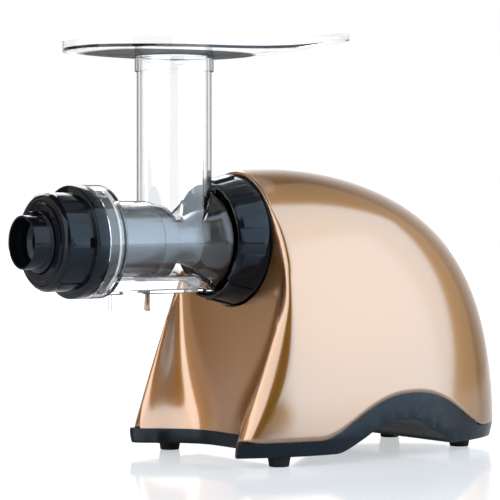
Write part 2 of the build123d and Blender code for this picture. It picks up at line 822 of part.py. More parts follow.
def make_safety_switch():
    y, z = round_the_axis(plunger_angle, plunger_circle_r)
    length, width, height = safety_switch_size
    start = plunger_front + plunger_length + loose_gap
    body = block(start, start + length, y - width / 2, y + width / 2, z - height / 2, z + height / 2)
    arm = block(socket_plate_rear, start + length, y - width / 2, y - width / 2 + 2,
                z - height / 2, z + height / 2)
    return body + arm


# ---- screen and auger --------------------------------------------------------------------------
def make_juicing_screen():
    nose = screen_front + screen_nose_wall
    band = screen_band_front
    groove_r = screen_r - screen_band_groove / 2
    screen = turned([
        (screen_front, screen_mouth_r), (screen_front, screen_r), (band, screen_r),
        (band, groove_r), (band + screen_band_groove, groove_r),
        (band + screen_band_groove, screen_r), (screen_rear, screen_r), (screen_rear, screen_bore_r),
        (nose, screen_bore_r), (nose, screen_mouth_r)])
    window = sector(window_front, window_rear, screen_bore_r - 1, screen_r + 1, 2 * window_half_angle)
    return screen - around(window, -90)


def lower_wedge(start, end, half_angle):
    """Wedge between two stations that opens downwards from the axis."""
    turn = math.radians(half_angle)
    reach = screen_r + loose_gap
    corners = [(0, 0), (-reach * math.tan(turn), -reach), (reach * math.tan(turn), -reach)]
    points = [(feed_x + start, y, axis_z + z) for y, z in corners]
    return extrude(make_face(Polyline(*points, close=True)), amount=end - start, dir=(1, 0, 0))


def make_screen_mesh():
    outer = screen_bore_r + mesh_thickness
    mesh = sleeve(window_front, window_rear, screen_bore_r, outer)
    mesh = mesh & lower_wedge(window_front, window_rear, window_half_angle)
    pitch = (window_rear - window_front) / (mesh_slot_count + 1)
    for k in range(mesh_slot_count):
        start = window_front + pitch * (k + 1) - mesh_slot_width / 2
        mesh -= lower_wedge(start, start + mesh_slot_width, window_half_angle - mesh_edge_angle)
    return mesh


def make_auger():
    disc = auger_rear - auger_disc_length
    core = turned([
        (auger_tip, 0), (auger_tip, auger_tip_r - 1), (auger_tip + 1, auger_tip_r),
        (flight_start - 2, auger_front_core_r), (screen_rear, auger_middle_core_r),
        (cone_start, auger_feed_core_r), (cone_end, auger_rear_core_r), (disc - 4, auger_rear_core_r + 3),
        (disc, spigot_bore_r - air_gap), (auger_rear, spigot_bore_r - air_gap), (auger_rear, 0)])
    length = flight_end - flight_start
    height = flight_r - auger_front_core_r + 2
    coil = Helix(flight_pitch, length, flight_r - height / 2)
    frame = Plane(origin=coil @ 0, x_dir=(1, 0, 0), z_dir=coil % 0)
    flight = sweep(frame * Rectangle(height, flight_thickness), path=coil, is_frenet=True)
    flight = Pos(feed_x + flight_start, 0, axis_z) * (Rot(0, 90, 0) * flight)
    auger = core + (flight - core)
    return auger - rod(drive_hex_front, auger_rear, insert_r)


def hexagon_rod(start, end, flats):
    plane = Plane(origin=(feed_x + start, 0, axis_z), x_dir=(0, 1, 0), z_dir=(1, 0, 0))
    return extrude(plane * RegularPolygon(flats / 2, 6, major_radius=False), end - start)


def make_auger_insert():
    insert = rod(drive_hex_front, auger_rear, insert_r)
    return insert - hexagon_rod(drive_hex_front, auger_rear, drive_hex_flats)


# ---- end cap and adjusting nozzle --------------------------------------------------------------
def make_end_cap():
    face = cap_face_station
    dome = face + cap_dome_depth
    groove = cap_groove_r
    cap = turned([
        (face + 1, nozzle_hub_r + running_gap), (face, nozzle_hub_r + 1), (face, groove - 1.5),
        (face + cap_groove_depth, groove - 1), (face + cap_groove_depth, groove + cap_groove_width),
        (face + 1.5, groove + cap_groove_width + 0.5), (face + 2.2, cap_side_r - 2), (dome, cap_side_r),
        (cap_flange_front, cap_side_r), (cap_flange_front + 1, drum_flange_r - 0.5),
        (cap_flange_front + 2, drum_flange_r), (cap_flange_rear, drum_flange_r),
        (cap_flange_rear, cap_skirt_r), (cap_skirt_rear, cap_skirt_r), (cap_skirt_rear, cap_cavity_r),
        (cap_cavity_front, cap_cavity_r), (cap_cavity_front, nozzle_hub_r + running_gap)])
    groove_rear = cap_skirt_rear - seal_edge
    cap -= sleeve(groove_rear - seal_width, groove_rear, cap_skirt_r - seal_depth, cap_skirt_r + 1)
    for k in range(cap_pad_count):
        pad = sector(dome + 1, cap_flange_front, cap_side_r - 1, cap_side_r + cap_pad_height,
                     cap_pad_angle)
        cap += around(pad, 180 + 360 * k / cap_pad_count)
    for k in range(lug_count):
        lug = sector(drum_flange_station + cap_lug_setback + loose_gap,
                     drum_flange_station + cap_lug_setback + loose_gap + cap_lug_length,
                     cap_skirt_r - 1, cap_bore_r + cap_lug_height, cap_lug_angle)
        cap += around(lug, 90 + 360 * k / lug_count)
    return cap


def make_cap_seal():
    rear = cap_skirt_rear - seal_edge
    return sleeve(rear - seal_width, rear, cap_skirt_r - seal_depth, cap_bore_r - running_gap)


def make_adjusting_nozzle():
    hub = nozzle_hub_front
    collar = cap_cavity_front + loose_gap
    throat = nozzle_throat_front
    nozzle = turned([
        (-nozzle_reach, nozzle_r - nozzle_wall), (-nozzle_reach, nozzle_r), (hub - 0.8, nozzle_r),
        (hub, nozzle_hub_r), (collar, nozzle_hub_r), (collar, nozzle_collar_r),
        (collar + nozzle_collar_length, nozzle_collar_r),
        (collar + nozzle_collar_length, nozzle_rear_r + 2.5), (nozzle_rear, nozzle_rear_r),
        (nozzle_rear, nozzle_throat_r), (throat, nozzle_throat_r),
        (throat - 3, nozzle_r - nozzle_wall)])
    pointer = block(hub - 6, hub - 0.4, -nozzle_pointer_width / 2, nozzle_pointer_width / 2,
                    axis_z + nozzle_r - 1, axis_z + nozzle_hub_r)
    return nozzle + pointer


# ---- feed tray ---------------------------------------------------------------------------------
def tray_block(inset):
    """Upright block with the tray's squarish oval outline, drawn in by an inset."""
    middle = (tray_front + tray_rear) / 2
    length = (tray_rear - tray_front) / 2 - inset
    width = tray_half_width - inset
    points = []
    count = 24
    for k in range(count):
        turn = 2 * math.pi * k / count
        c = math.cos(turn)
        s = math.sin(turn)
        x = length * math.copysign(abs(c) ** (2 / tray_squareness), c)
        y = width * math.copysign(abs(s) ** (2 / tray_squareness), s)
        points.append((feed_x + middle + x, y, collar_bottom_z))
    depth = tray_edge_z + tray_end_rise + 2 * tray_rim_height - collar_bottom_z
    return extrude(make_face(Spline(*points, periodic=True)), amount=depth, dir=(0, 0, 1))


def tray_space(lift):
    """Space between the tray's curved underside and its rim, raised by a lift."""
    sections = []
    steps = 6
    reach = tray_half_width + tray_thickness
    middle = (tray_front + tray_rear) / 2
    half = (tray_rear - tray_front) / 2 + tray_thickness
    for k in range(steps + 1):
        place = 2 * k / steps - 1
        share = max(middle + half * place, 0.0) / tray_rear
        edge = tray_edge_z + tray_end_rise * share ** 2 + lift
        low = edge - tray_dish * (1.1 - place ** 2)
        top = edge + tray_rim_height - tray_rim_fall * share
        under = ThreePointArc((-reach, edge), (0, low), (reach, edge))
        rest = Polyline((reach, edge), (reach, top), (-reach, top), (-reach, edge))
        plane = Plane(origin=(feed_x + middle + half * place, 0, 0), x_dir=(0, 1, 0), z_dir=(1, 0, 0))
        sections.append(plane * make_face([under, *rest.edges()]))
    return loft(sections)


def make_feed_tray():
    inner = tray_block(tray_thickness) & tray_space(tray_thickness)
    tray = (tray_block(0) & tray_space(0)) - inner
    floor_top = tray_edge_z - tray_dish + tray_thickness
    tray += post(0, 0, collar_bottom_z, floor_top, collar_r)
    tray -= post(0, 0, collar_bottom_z, feed_tube_top_z + loose_gap, feed_tube_r + running_gap)
    return tray - post(0, 0, collar_bottom_z, floor_top + tray_dish, feed_tube_r - feed_tube_wall)


# ---- gears -------------------------------------------------------------------------------------
def spur_gear(teeth, module, width, first_angle):
    """Gear blank along +X from the origin, one tooth centred at first_angle from +Y towards +Z."""
    pitch_r = module * teeth / 2
    base_r = pitch_r * math.cos(pressure_angle)
    tip_r = pitch_r + addendum * module
    root_r = pitch_r - dedendum * module
    half = tooth_thickness * math.pi / teeth
    at_pitch = math.tan(pressure_angle) - pressure_angle

    def half_angle(radius):
        swing = math.acos(min(base_r / radius, 1.0))
        return half + at_pitch - (math.tan(swing) - swing)

    start_r = max(root_r + 0.15 * module, base_r)
    levels = [start_r, (start_r + pitch_r) / 2 if start_r < pitch_r else pitch_r, pitch_r,
              (pitch_r + tip_r) / 2, tip_r]
    points = []
    for tooth in range(teeth):
        middle = math.radians(first_angle) + 2 * math.pi * tooth / teeth
        flank = [(root_r, half_angle(start_r) + 0.02 * half)] + [(r, half_angle(r)) for r in levels]
        for radius, angle in flank:
            points.append((radius * math.cos(middle - angle), radius * math.sin(middle - angle)))
        for radius, angle in reversed(flank):
            points.append((radius * math.cos(middle + angle), radius * math.sin(middle + angle)))
    plane = Plane(origin=(0, 0, 0), x_dir=(0, 1, 0), z_dir=(1, 0, 0))
    return extrude(plane * make_face(Polyline(*points, close=True)), width)


def make_output_gear():
    gear = spur_gear(output_teeth, low_module, output_gear_width, -90)
    gear = shift(gear, output_gear_front, 0, axis_z)
    rear = output_gear_front + output_gear_width
    rim = low_module * (output_teeth / 2 - dedendum) - gear_hub_wall
    hub = output_shaft_r + gear_hub_wall
    gear -= sleeve(output_gear_front, output_gear_front + gear_web_recess, hub, rim)
    gear -= sleeve(rear - gear_web_recess, rear, hub, rim)
    return gear - rod(output_gear_front, rear, output_shaft_r)


def make_idler_pinion():
    pinion = spur_gear(idler_pinion_teeth, low_module, idler_pinion_width, 90 + 180 / idler_pinion_teeth)
    pinion = shift(pinion, idler_pinion_front, 0, idler_z)
    rear = idler_pinion_front + idler_pinion_width
    return pinion - rod(idler_pinion_front, rear, idler_shaft_r, idler_z)


def make_idler_gear():
    front = idler_gear_front
    rear = front + idler_gear_width
    gear = shift(spur_gear(idler_teeth, high_module, idler_gear_width, 90), front, 0, idler_z)
    rim = high_module * (idler_teeth / 2 - dedendum) - gear_hub_wall
    hub = idler_shaft_r + gear_hub_wall
    gear -= sleeve(front, front + gear_web_recess, hub, rim, idler_z)
    gear += sleeve(idler_pinion_front + idler_pinion_width, front, idler_shaft_r, hub, idler_z)
    return gear - rod(front, rear, idler_shaft_r, idler_z)


def make_motor_pinion():
    pinion = spur_gear(motor_pinion_teeth, high_module, motor_pinion_width,
                       -90 + 180 / motor_pinion_teeth)
    pinion = shift(pinion, motor_pinion_front, 0, motor_z)
    rear = motor_pinion_front + motor_pinion_width
    return pinion - rod(motor_pinion_front, rear, motor_shaft_r, motor_z)


def make_output_shaft():
    hex_end = auger_rear + air_gap
    shaft = hexagon_rod(drive_hex_front, hex_end, drive_hex_flats - 2 * running_gap)
    rear_seat = gearbox_rear - 1
    shaft += rod(hex_end, rear_seat, output_shaft_r)
    return shaft + rod(rear_seat, cover_rear - 1, output_shaft_rear_r)


def make_idler_shaft():
    return rod(gearbox_front + 1, cover_rear - 1, idler_shaft_r, idler_z)


# ---- gearbox -----------------------------------------------------------------------------------
def gearbox_outline(start, end, grow):
    """Pear-shaped space round the two gears."""
    upper = rod(start, end, gearbox_upper_r + grow)
    lower = rod(start, end, gearbox_lower_r + grow, idler_z)
    sine = (gearbox_upper_r - gearbox_lower_r) / low_centre_distance
    cosine = math.sqrt(1 - sine * sine)
    corners = []
    for side in (1, -1):
        for radius, z in ((gearbox_upper_r + grow, axis_z), (gearbox_lower_r + grow, idler_z)):
            corners.append((feed_x + start, side * radius * cosine, z + radius * -sine * 1))
    right_top, right_low, left_top, left_low = corners
    web = make_face(Polyline(right_top, right_low, left_low, left_top, close=True))
    return upper + lower + extrude(web, amount=end - start, dir=(1, 0, 0))


def gearbox_screw_places():
    reach = gearbox_upper_r + gearbox_wall + 1
    places = [round_the_axis(90 + side * gearbox_upper_lug_angle, reach) for side in (-1, 1)]
    low = gearbox_lower_r + gearbox_wall + 2
    return places + [round_the_axis(-90 + side * gearbox_lower_lug_angle, low, idler_z)
                     for side in (-1, 1)]


def make_gearbox_housing():
    box = gearbox_outline(gearbox_front, gearbox_rear, gearbox_wall)
    box += rod(socket_plate_rear, gearbox_front + 1, gearbox_boss_r)
    for y, z in socket_screw_places():
        box += rod(socket_plate_rear, gearbox_front + 1, housing_post_r, z, y)
    for y, z in gearbox_screw_places():
        box += rod(gearbox_front, gearbox_rear, gearbox_lug_r, z, y)
    box -= gearbox_outline(gearbox_front + gearbox_wall, gearbox_rear, 0)
    bearing_rear = gearbox_front + gearbox_wall
    box -= rod(socket_plate_rear, bearing_rear, output_shaft_r + air_gap)
    box -= rod(bearing_rear - front_bearing_length, bearing_rear, front_bearing_r)
    box -= rod(gearbox_front + 1, bearing_rear, idler_shaft_r + idler_bush_wall, idler_z)
    for y, z in socket_screw_places():
        box -= lying_bore(socket_plate_rear, socket_plate_rear + socket_screw_grip, y, z)
    for y, z in gearbox_screw_places():
        box -= lying_bore(gearbox_rear - 14, gearbox_rear, y, z)
    for side in (-1, 1):
        box -= lying_bore(gearbox_front, gearbox_front + gearbox_wall, side * bracket_half_width / 2,
                          bracket_top_z - bracket_screw_drop)
    return box


def make_gearbox_cover():
    cover = gearbox_outline(gearbox_rear, cover_rear, gearbox_wall)
    for y, z in gearbox_screw_places():
        cover += rod(gearbox_rear, cover_rear, gearbox_lug_r, z, y)
        cover -= lying_bore(gearbox_rear, cover_rear, y, z)
    cover -= rod(gearbox_rear, cover_rear, rear_bearing_r)
    cover -= rod(gearbox_rear, cover_rear, idler_shaft_r + idler_bush_wall, idler_z)
    cover -= rod(gearbox_rear, cover_rear, motor_shaft_r + air_gap, motor_z)
    for y, z in motor_bolt_places():
        if math.hypot(y, z - axis_z) < gearbox_upper_r:
            cover -= lying_bore(gearbox_rear, cover_rear, y, z)
    return cover


def make_gearbox_screws():
    return group(lying_screw(cover_rear + screw_head_height, y, z, -(cover_thickness + 14))
                 for y, z in gearbox_screw_places())


def make_front_bearing():
    rear = gearbox_front + gearbox_wall
    return sleeve(rear - front_bearing_length, rear, output_shaft_r + bearing_gap, front_bearing_r)


def make_rear_bearing():
    return sleeve(gearbox_rear, cover_rear, output_shaft_rear_r + bearing_gap, rear_bearing_r)


def make_idler_bushes():
    inner = idler_shaft_r + bearing_gap
    outer = idler_shaft_r + idler_bush_wall
    front = sleeve(gearbox_front + 1, gearbox_front + gearbox_wall, inner, outer, idler_z)
    return group([front, sleeve(gearbox_rear, cover_rear, inner, outer, idler_z)])


def bracket_foot_places():
    station = gearbox_front - bracket_thickness - bracket_foot_length / 2
    return [(station, side * bracket_half_width / 2) for side in (-1, 1)]


def make_gearbox_bracket():
    front = gearbox_front - bracket_thickness
    half = bracket_half_width
    upright = block(front, gearbox_front, -half, half, floor_z, bracket_top_z)
    foot = block(front - bracket_foot_length, gearbox_front, -half, half, floor_z,
                 floor_z + bracket_thickness)
    bracket = upright + foot
    for side in (-1, 1):
        bracket -= lying_bore(front, gearbox_front, side * half / 2, bracket_top_z - bracket_screw_drop)
    for s, y in bracket_foot_places():
        bracket -= post(s, y, floor_z, floor_z + bracket_thickness, screw_r)
    return bracket


def make_bracket_screws():
    front = gearbox_front - bracket_thickness
    grip = screw_head_height + bracket_thickness + wall - 0.5
    pieces = []
    for side in (-1, 1):
        y = side * bracket_half_width / 2
        pieces.append(lying_screw(front - screw_head_height, y, bracket_top_z - bracket_screw_drop, grip))
    head_z = floor_z + bracket_thickness + screw_head_height
    return group(pieces + [upright_screw(s, y, head_z, -grip) for s, y in bracket_foot_places()])


# ---- motor -------------------------------------------------------------------------------------
def motor_bolt_places():
    return [round_the_axis(45 + 90 * k, motor_bolt_circle_r, motor_z) for k in range(4)]


def make_stator_core():
    core = sleeve(stator_front, stator_rear, stator_bore_r, stator_r, motor_z)
    slot = block(stator_front, stator_rear, -stator_slot_width / 2, stator_slot_width / 2,
                 motor_z + stator_bore_r - 1, motor_z + stator_bore_r + stator_slot_depth)
    for k in range(stator_slots):
        core -= around(slot, 360 * k / stator_slots, motor_z)
    for y, z in motor_bolt_places():
        core -= lying_bore(stator_front, stator_rear, y, z)
    return core


def make_stator_windings():
    outer = stator_bore_r + stator_slot_depth
    coil = sleeve(stator_front - winding_length, stator_front - slot_lining, winding_inner_r,
                  winding_outer_r, motor_z)
    coil += sleeve(stator_rear + slot_lining, stator_rear + winding_length, winding_inner_r,
                   winding_outer_r, motor_z)
    half = stator_slot_width / 2 - slot_lining
    bar = block(stator_front - 2, stator_rear + 2, -half, half, motor_z + winding_inner_r + 1,
                motor_z + outer - slot_lining)
    for k in range(stator_slots):
        coil += around(bar, 360 * k / stator_slots, motor_z)
    return coil


def motor_bell(open_end, closed_end):
    """Cup-shaped end bell with its bearing seat in the closed end."""
    way = 1 if closed_end > open_end else -1
    inner = closed_end - way * bell_wall
    seat = closed_end - way * motor_bearing_length
    profile = [
        (open_end, stator_r - bell_wall), (open_end, stator_r), (closed_end, stator_r),
        (closed_end, motor_bearing_r), (seat, motor_bearing_r), (seat, bell_boss_r),
        (inner, bell_boss_r), (inner, stator_r - bell_wall)]
    bell = turned(profile, motor_z)
    low = min(open_end, closed_end)
    high = max(open_end, closed_end)
    for y, z in motor_bolt_places():
        bell += rod(low, high, screw_r + 2, z, y) & rod(low, high, stator_r, motor_z)
        bell -= lying_bore(low, high, y, z)
    for k in range(bell_window_count):
        hole = post((low + high) / 2, 0, motor_z + stator_r - 2 * bell_wall, motor_z + stator_r + 1,
                    bell_window_r)
        bell -= around(hole, 30 + 360 * k / bell_window_count, motor_z)
    return bell


def make_motor_bearings():
    inner = motor_shaft_r + bearing_gap
    front = sleeve(bell_front, bell_front + motor_bearing_length, inner, motor_bearing_r, motor_z)
    return group([front, sleeve(bell_rear - motor_bearing_length, bell_rear, inner, motor_bearing_r,
                                motor_z)])


def make_motor_bolts():
    reach = bell_rear - bell_front + cover_thickness
    pieces = []
    for y, z in motor_bolt_places():
        inside = math.hypot(y, z - axis_z) < gearbox_upper_r
        length = reach - 0.5 if inside else reach - cover_thickness
        pieces.append(lying_screw(bell_rear + screw_head_height, y, z, -(length + screw_head_height)))
    return group(pieces)


def make_motor_shaft():
    return rod(motor_pinion_front, bell_rear + fan_gap + fan_length, motor_shaft_r, motor_z)


def make_rotor():
    core = sleeve(stator_front, stator_rear, motor_shaft_r, stator_bore_r - air_gap, motor_z)
    front = sleeve(stator_front - 4, stator_front, stator_bore_r - 8, stator_bore_r - 1, motor_z)
    rear = sleeve(stator_rear, stator_rear + 4, stator_bore_r - 8, stator_bore_r - 1, motor_z)
    return core + front + rear


def make_cooling_fan():
    start = bell_rear + fan_gap
    end = start + fan_length
    fan = sleeve(start, end, motor_shaft_r, fan_hub_r, motor_z)
    fan += sleeve(end - 1.5, end, fan_hub_r - 1, fan_r * 0.6, motor_z)
    blade = block(start, end, -fan_blade_thickness / 2, fan_blade_thickness / 2,
                  motor_z + fan_hub_r - 1, motor_z + fan_r)
    for k in range(fan_blades):
        fan += around(blade, 360 * k / fan_blades, motor_z)
    return fan


def make_motor_cradle():
    start = cradle_station - cradle_thickness / 2
    end = cradle_station + cradle_thickness / 2
    plate = block(start, end, -cradle_half_width, cradle_half_width, cradle_pad_top_z, cradle_top_z)
    plate -= rod(start - 10, end + 10, stator_r, motor_z)
    foot_top = cradle_pad_top_z + cradle_foot_thickness
    foot = block(start - cradle_foot_lip, end + cradle_foot_lip, -cradle_half_width, cradle_half_width,
                 cradle_pad_top_z, foot_top)
    cradle = plate + foot
    for side in (-1, 1):
        y = side * cradle_screw_offset
        cradle -= post(cradle_screw_station, y, cradle_pad_top_z, foot_top, screw_r)
    return cradle


def make_cradle_screws():
    head_z = cradle_pad_top_z + cradle_foot_thickness + screw_head_height
    length = screw_head_height + cradle_foot_thickness + cradle_screw_grip - 0.5
    return group(upright_screw(cradle_screw_station, side * cradle_screw_offset, head_z, -length)
                 for side in (-1, 1))


# ---- electrical parts --------------------------------------------------------------------------
def make_run_capacitor():
    top = floor_z + capacitor_height
    can = post(capacitor_station, capacitor_offset, floor_z, top, capacitor_r)
    for side in (-1, 1):
        y = capacitor_offset + side * 5
        can += block(capacitor_station - 3, capacitor_station + 3, y - 0.4, y + 0.4, top - 1, top + 7)
    return can


def make_capacitor_clip():
    outer = capacitor_r + capacitor_clip_wall
    top = capacitor_clip_z + capacitor_clip_width
    inner_side = capacitor_offset - capacitor_r
    clip = post(capacitor_station, capacitor_offset, capacitor_clip_z, top, outer)
    half = capacitor_clip_width / 2
    leg = block(capacitor_station - half, capacitor_station + half, inner_side - capacitor_clip_wall - 1,
                inner_side - 1, floor_z, top)
    web = block(capacitor_station - half, capacitor_station + half, inner_side - 2, inner_side + 2,
                capacitor_clip_z, top)
    clip = clip + leg + web
    return clip - post(capacitor_station, capacitor_offset, floor_z, top, capacitor_r)


def make_control_board():
    length, width, thick = board_size
    start = board_station - length / 2
    low = board_offset - width / 2
    board = block(start, start + length, low, low + width, board_z, board_z + thick)
    for dx in (5, length - 5):
        for dy in (5, width - 5):
            board += post(start + dx, low + dy, floor_z, board_z + 1, standoff_r)
    relay_length, relay_width, relay_height = relay_size
    return board + block(start + 2, start + 2 + relay_length, low + 8, low + 8 + relay_width,
                         board_z + thick - 0.1, board_z + thick + relay_height)


def make_terminal_block():
    length, width, thick = board_size
    end = board_station + length / 2 - 1
    low = board_offset - width / 2 + 3
    foot = board_z + thick
    pieces = block(end - terminal_size[0], end, low, low + terminal_size[1], foot,
                   foot + terminal_size[2])
    pitch = terminal_size[1] / terminal_count
    for k in range(terminal_count):
        y = low + pitch * (k + 0.5)
        pieces -= post(end - terminal_size[0] / 2, y, foot + 3, foot + terminal_size[2], pitch * 0.3)
    return pieces


def ledge(width, height, margin, middle_z):
    """Rim that bears on the inside of the rear wall."""
    seat = rear_reach - wall - loose_gap
    half = width / 2 + margin
    tall = height / 2 + margin
    return block(seat - ledge_thickness, seat, -half, half, middle_z - tall, middle_z + tall)


def make_power_inlet():
    width, height = inlet_size
    plate = rear_reach
    body = block(plate - inlet_depth, plate, -width / 2, width / 2, inlet_z - height / 2,
                 inlet_z + height / 2)
    body += ledge(width, height, inlet_ledge, inlet_z)
    wide, tall = inlet_well
    body -= block(plate - inlet_well_depth, plate + 1, -wide / 2, wide / 2, inlet_z - tall / 2,
                  inlet_z + tall / 2)
    return body


def make_inlet_pins():
    thin, tall = inlet_pin_size
    pieces = []
    start = rear_reach - inlet_well_depth
    for side, lift in ((-1, 0), (0, 2), (1, 0)):
        y = side * 6.0
        z = inlet_z + lift - 1.0
        pieces.append(block(start, start + inlet_pin_length, y - thin / 2, y + thin / 2, z - tall / 2,
                            z + tall / 2))
    return group(pieces)


def make_rocker_frame():
    half = rocker_size[0] / 2
    tall = rocker_size[1] / 2
    edge = rocker_frame_wall
    back = rear_reach - rocker_frame_depth
    frame = block(back, rear_reach, -half - edge, half + edge, rocker_z - tall - edge,
                  rocker_z + tall + edge)
    frame += ledge(2 * (half + edge), 2 * (tall + edge), rocker_ledge, rocker_z)
    return frame - block(back + edge, rear_reach + 1, -half, half, rocker_z - tall, rocker_z + tall)


def make_power_rocker():
    half = rocker_size[0] / 2 - loose_gap
    tall = rocker_size[1] / 2 - rocker_play
    face = rear_reach - 0.3
    swing = math.radians(rocker_tilt)
    dip = tall * math.sin(swing) * 0.35
    points = [(face - rocker_depth, -3), (face - 2, -tall), (face, -tall), (face - dip, 0), (face, tall),
              (face - 2, tall), (face - rocker_depth, 3)]
    corners = [(feed_x + station, -half, rocker_z + z) for station, z in points]
    rocker = extrude(make_face(Polyline(*corners, close=True)), amount=2 * half, dir=(0, 1, 0))
    return rocker


PIECES = {
    "body_shell": make_body_shell,
    "base": make_base,
    "foot_screws": make_foot_screws,
    "case_screws": make_case_screws,
    "drum": make_drum,
    "drum_seal": make_drum_seal,
    "drum_socket": make_drum_socket,
    "socket_screws": make_socket_screws,
    "locking_ring": make_locking_ring,
    "ring_retainer": make_ring_retainer,
    "safety_plunger": make_safety_plunger,
    "plunger_spring": make_plunger_spring,
    "safety_switch": make_safety_switch,
    "juicing_screen": make_juicing_screen,
    "screen_mesh": make_screen_mesh,
    "auger": make_auger,
    "auger_insert": make_auger_insert,
    "end_cap": make_end_cap,
    "cap_seal": make_cap_seal,
    "adjusting_nozzle": make_adjusting_nozzle,
    "feed_tray": make_feed_tray,
    "output_shaft": make_output_shaft,
    "output_gear": make_output_gear,
    "idler_shaft": make_idler_shaft,
    "idler_gear": make_idler_gear,
    "idler_pinion": make_idler_pinion,
    "idler_bushes": make_idler_bushes,
    "front_bearing": make_front_bearing,
    "rear_bearing": make_rear_bearing,
    "gearbox_housing": make_gearbox_housing,
    "gearbox_cover": make_gearbox_cover,
    "gearbox_screws": make_gearbox_screws,
    "gearbox_bracket": make_gearbox_bracket,
    "bracket_screws": make_bracket_screws,
    "motor_pinion": make_motor_pinion,
    "motor_shaft": make_motor_shaft,
    "rotor": make_rotor,
    "stator_core": make_stator_core,
    "stator_windings": make_stator_windings,
    "motor_front_bell": lambda: motor_bell(stator_front, bell_front),
    "motor_rear_bell": lambda: motor_bell(stator_rear, bell_rear),
    "motor_bearings": make_motor_bearings,
    "motor_bolts": make_motor_bolts,
    "cooling_fan": make_cooling_fan,
    "motor_cradle": make_motor_cradle,
    "cradle_screws": make_cradle_screws,
    "run_capacitor": make_run_capacitor,
    "capacitor_clip": make_capacitor_clip,
    "control_board": make_control_board,
    "terminal_block": make_terminal_block,
    "power_inlet": make_power_inlet,
    "inlet_pins": make_inlet_pins,
    "rocker_frame": make_rocker_frame,
    "power_rocker": make_power_rocker,
}
FOOT_NAMES = ["foot_front_right", "foot_front_left", "foot_rear_right", "foot_rear_left"]

os.makedirs("parts", exist_ok=True)
for name, make in PIECES.items():
    export_step(make(), "parts/" + name + ".step")
for name, (station, y) in zip(FOOT_NAMES, foot_places()):
    export_step(make_foot(station, y), "parts/" + name + ".step")
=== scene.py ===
import json
import math

import bmesh
import bpy
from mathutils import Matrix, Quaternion, Vector


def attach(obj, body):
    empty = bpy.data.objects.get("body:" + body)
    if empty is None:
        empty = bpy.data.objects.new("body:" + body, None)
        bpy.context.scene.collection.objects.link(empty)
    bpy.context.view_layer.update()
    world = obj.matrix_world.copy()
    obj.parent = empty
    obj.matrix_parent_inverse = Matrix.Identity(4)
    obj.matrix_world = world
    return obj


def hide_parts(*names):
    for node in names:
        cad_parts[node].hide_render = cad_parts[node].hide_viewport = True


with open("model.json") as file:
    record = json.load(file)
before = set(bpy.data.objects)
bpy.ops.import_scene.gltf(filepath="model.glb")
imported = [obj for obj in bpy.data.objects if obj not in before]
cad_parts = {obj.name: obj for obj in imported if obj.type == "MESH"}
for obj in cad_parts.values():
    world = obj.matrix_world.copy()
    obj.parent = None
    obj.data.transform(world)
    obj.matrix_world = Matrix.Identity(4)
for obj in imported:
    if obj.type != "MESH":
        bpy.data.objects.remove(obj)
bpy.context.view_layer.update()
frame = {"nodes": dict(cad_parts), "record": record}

MM = 0.001

# ---- the housing's form --------------------------------------------------------------------------
# In millimetres. A station is the distance behind the feed tube's centre line.
FEED_X = -81.3                # the feed tube's centre line in the frame
AXIS_Z = 171.0                # height of the drum's axis
REAR = 298.6                  # station of the flat rear face
CREST = 93.0                  # station of the widest and highest section
REAR_OVERRUN = 2.5            # the end curve would close this far behind the flat rear face
END_LENGTH = REAR + REAR_OVERRUN - CREST
HALF_WIDTH = 96.0
TOP_Z = 227.6
WIDEST_Z = 20.0               # height at which the housing is widest
FOOT_Z = 8.0                  # underside of the base
PLAN_POWER = 2.3              # fullness of the housing seen from above
PLAN_ROOT = 2.9
SIDE_POWER = 1.9              # fullness of the housing seen from the side
SIDE_ROOT = 3.5
TOE_TAPER = 24.2              # each toe is this much nearer the middle than the widest section
TOE_POWER = 2.38
HOOD_DROOP = 7.8              # fall of the top line from the crest to the feed tube's station
SKIRT_INSET = 4.0             # the lower edge draws in by this much
TOE = 8.9                     # station of the tips of the two front toes
LOW_MIDDLE = 48.0             # station of the middle of the hollow front face at the foot
LIP = 57.0                    # station of the hood's front edge
FRONT_FADE = 1.5              # how fast the hollow fades out with height
HOLLOW_BEND = 1.9             # how closely the hollow keeps to the legs at the foot
HOLLOW_BEND_GROWTH = 23.0     # and how much more closely higher up
RIDGE_INSET = 2.2             # foremost line of each leg, in from the side of its toe
RIDGE_ROUND_R = 10.0          # rounding from that line out to the side
SEAM_LOW = 19.5               # the wave-shaped seam between shell and base
SEAM_RISE = 32.0
SEAM_CREST = 165.0
SEAM_HALF_SPAN = 95.0
WAVE_POWER = 2.35
OPENING_R = 52.5              # the drum's opening in the hood
OPENING_DEPTHS = (0.8, 2.5)   # how far the skin turns in at that opening, in two steps
SKIN_THICKNESS = 2.2
INLET_CUTOUT = (38.0, 13.0, 9.5)      # height of the middle, half width and half height
ROCKER_CUTOUT = (68.0, 8.0, 11.0)

# ---- the look's own sizes, in millimetres --------------------------------------------------------
ROUNDING_FOOT = 10.0          # rounding of the front ridges near the floor
ROUNDING_FALL = 4.5           # what it loses up the legs
ROUNDING_HOOD = 2.2           # and what is left over the hood
ROUNDING_SHARE = 0.8          # the most it takes of the room outside the opening
LEG_HEIGHTS = (60.0, 200.0)   # heights between which the rounding shrinks
HOOD_HEIGHTS = (195.0, 224.0)
TURN_HEIGHTS = (110.0, 170.0)         # heights between which it turns in to face the axis
SPOUT_EDGE_Z = 125.5          # what lies lower on the drum is the bottom edge of its juice spout
SPOUT_DROP = 7.0              # the photo's spout ends this much lower than the solid's
PAINTED_SHADE_X = -68.3           # in the frame; behind it the auger is painted near black, as painted shade toward the housing
PAINTED_SHADE_BLEND = 0.5         # the painted shade fades in over this much on both sides of it
TRAY_EDGE_Z = 315.5           # the tray's edges look dark below this height
TRAY_EDGE_BLEND = 0.4

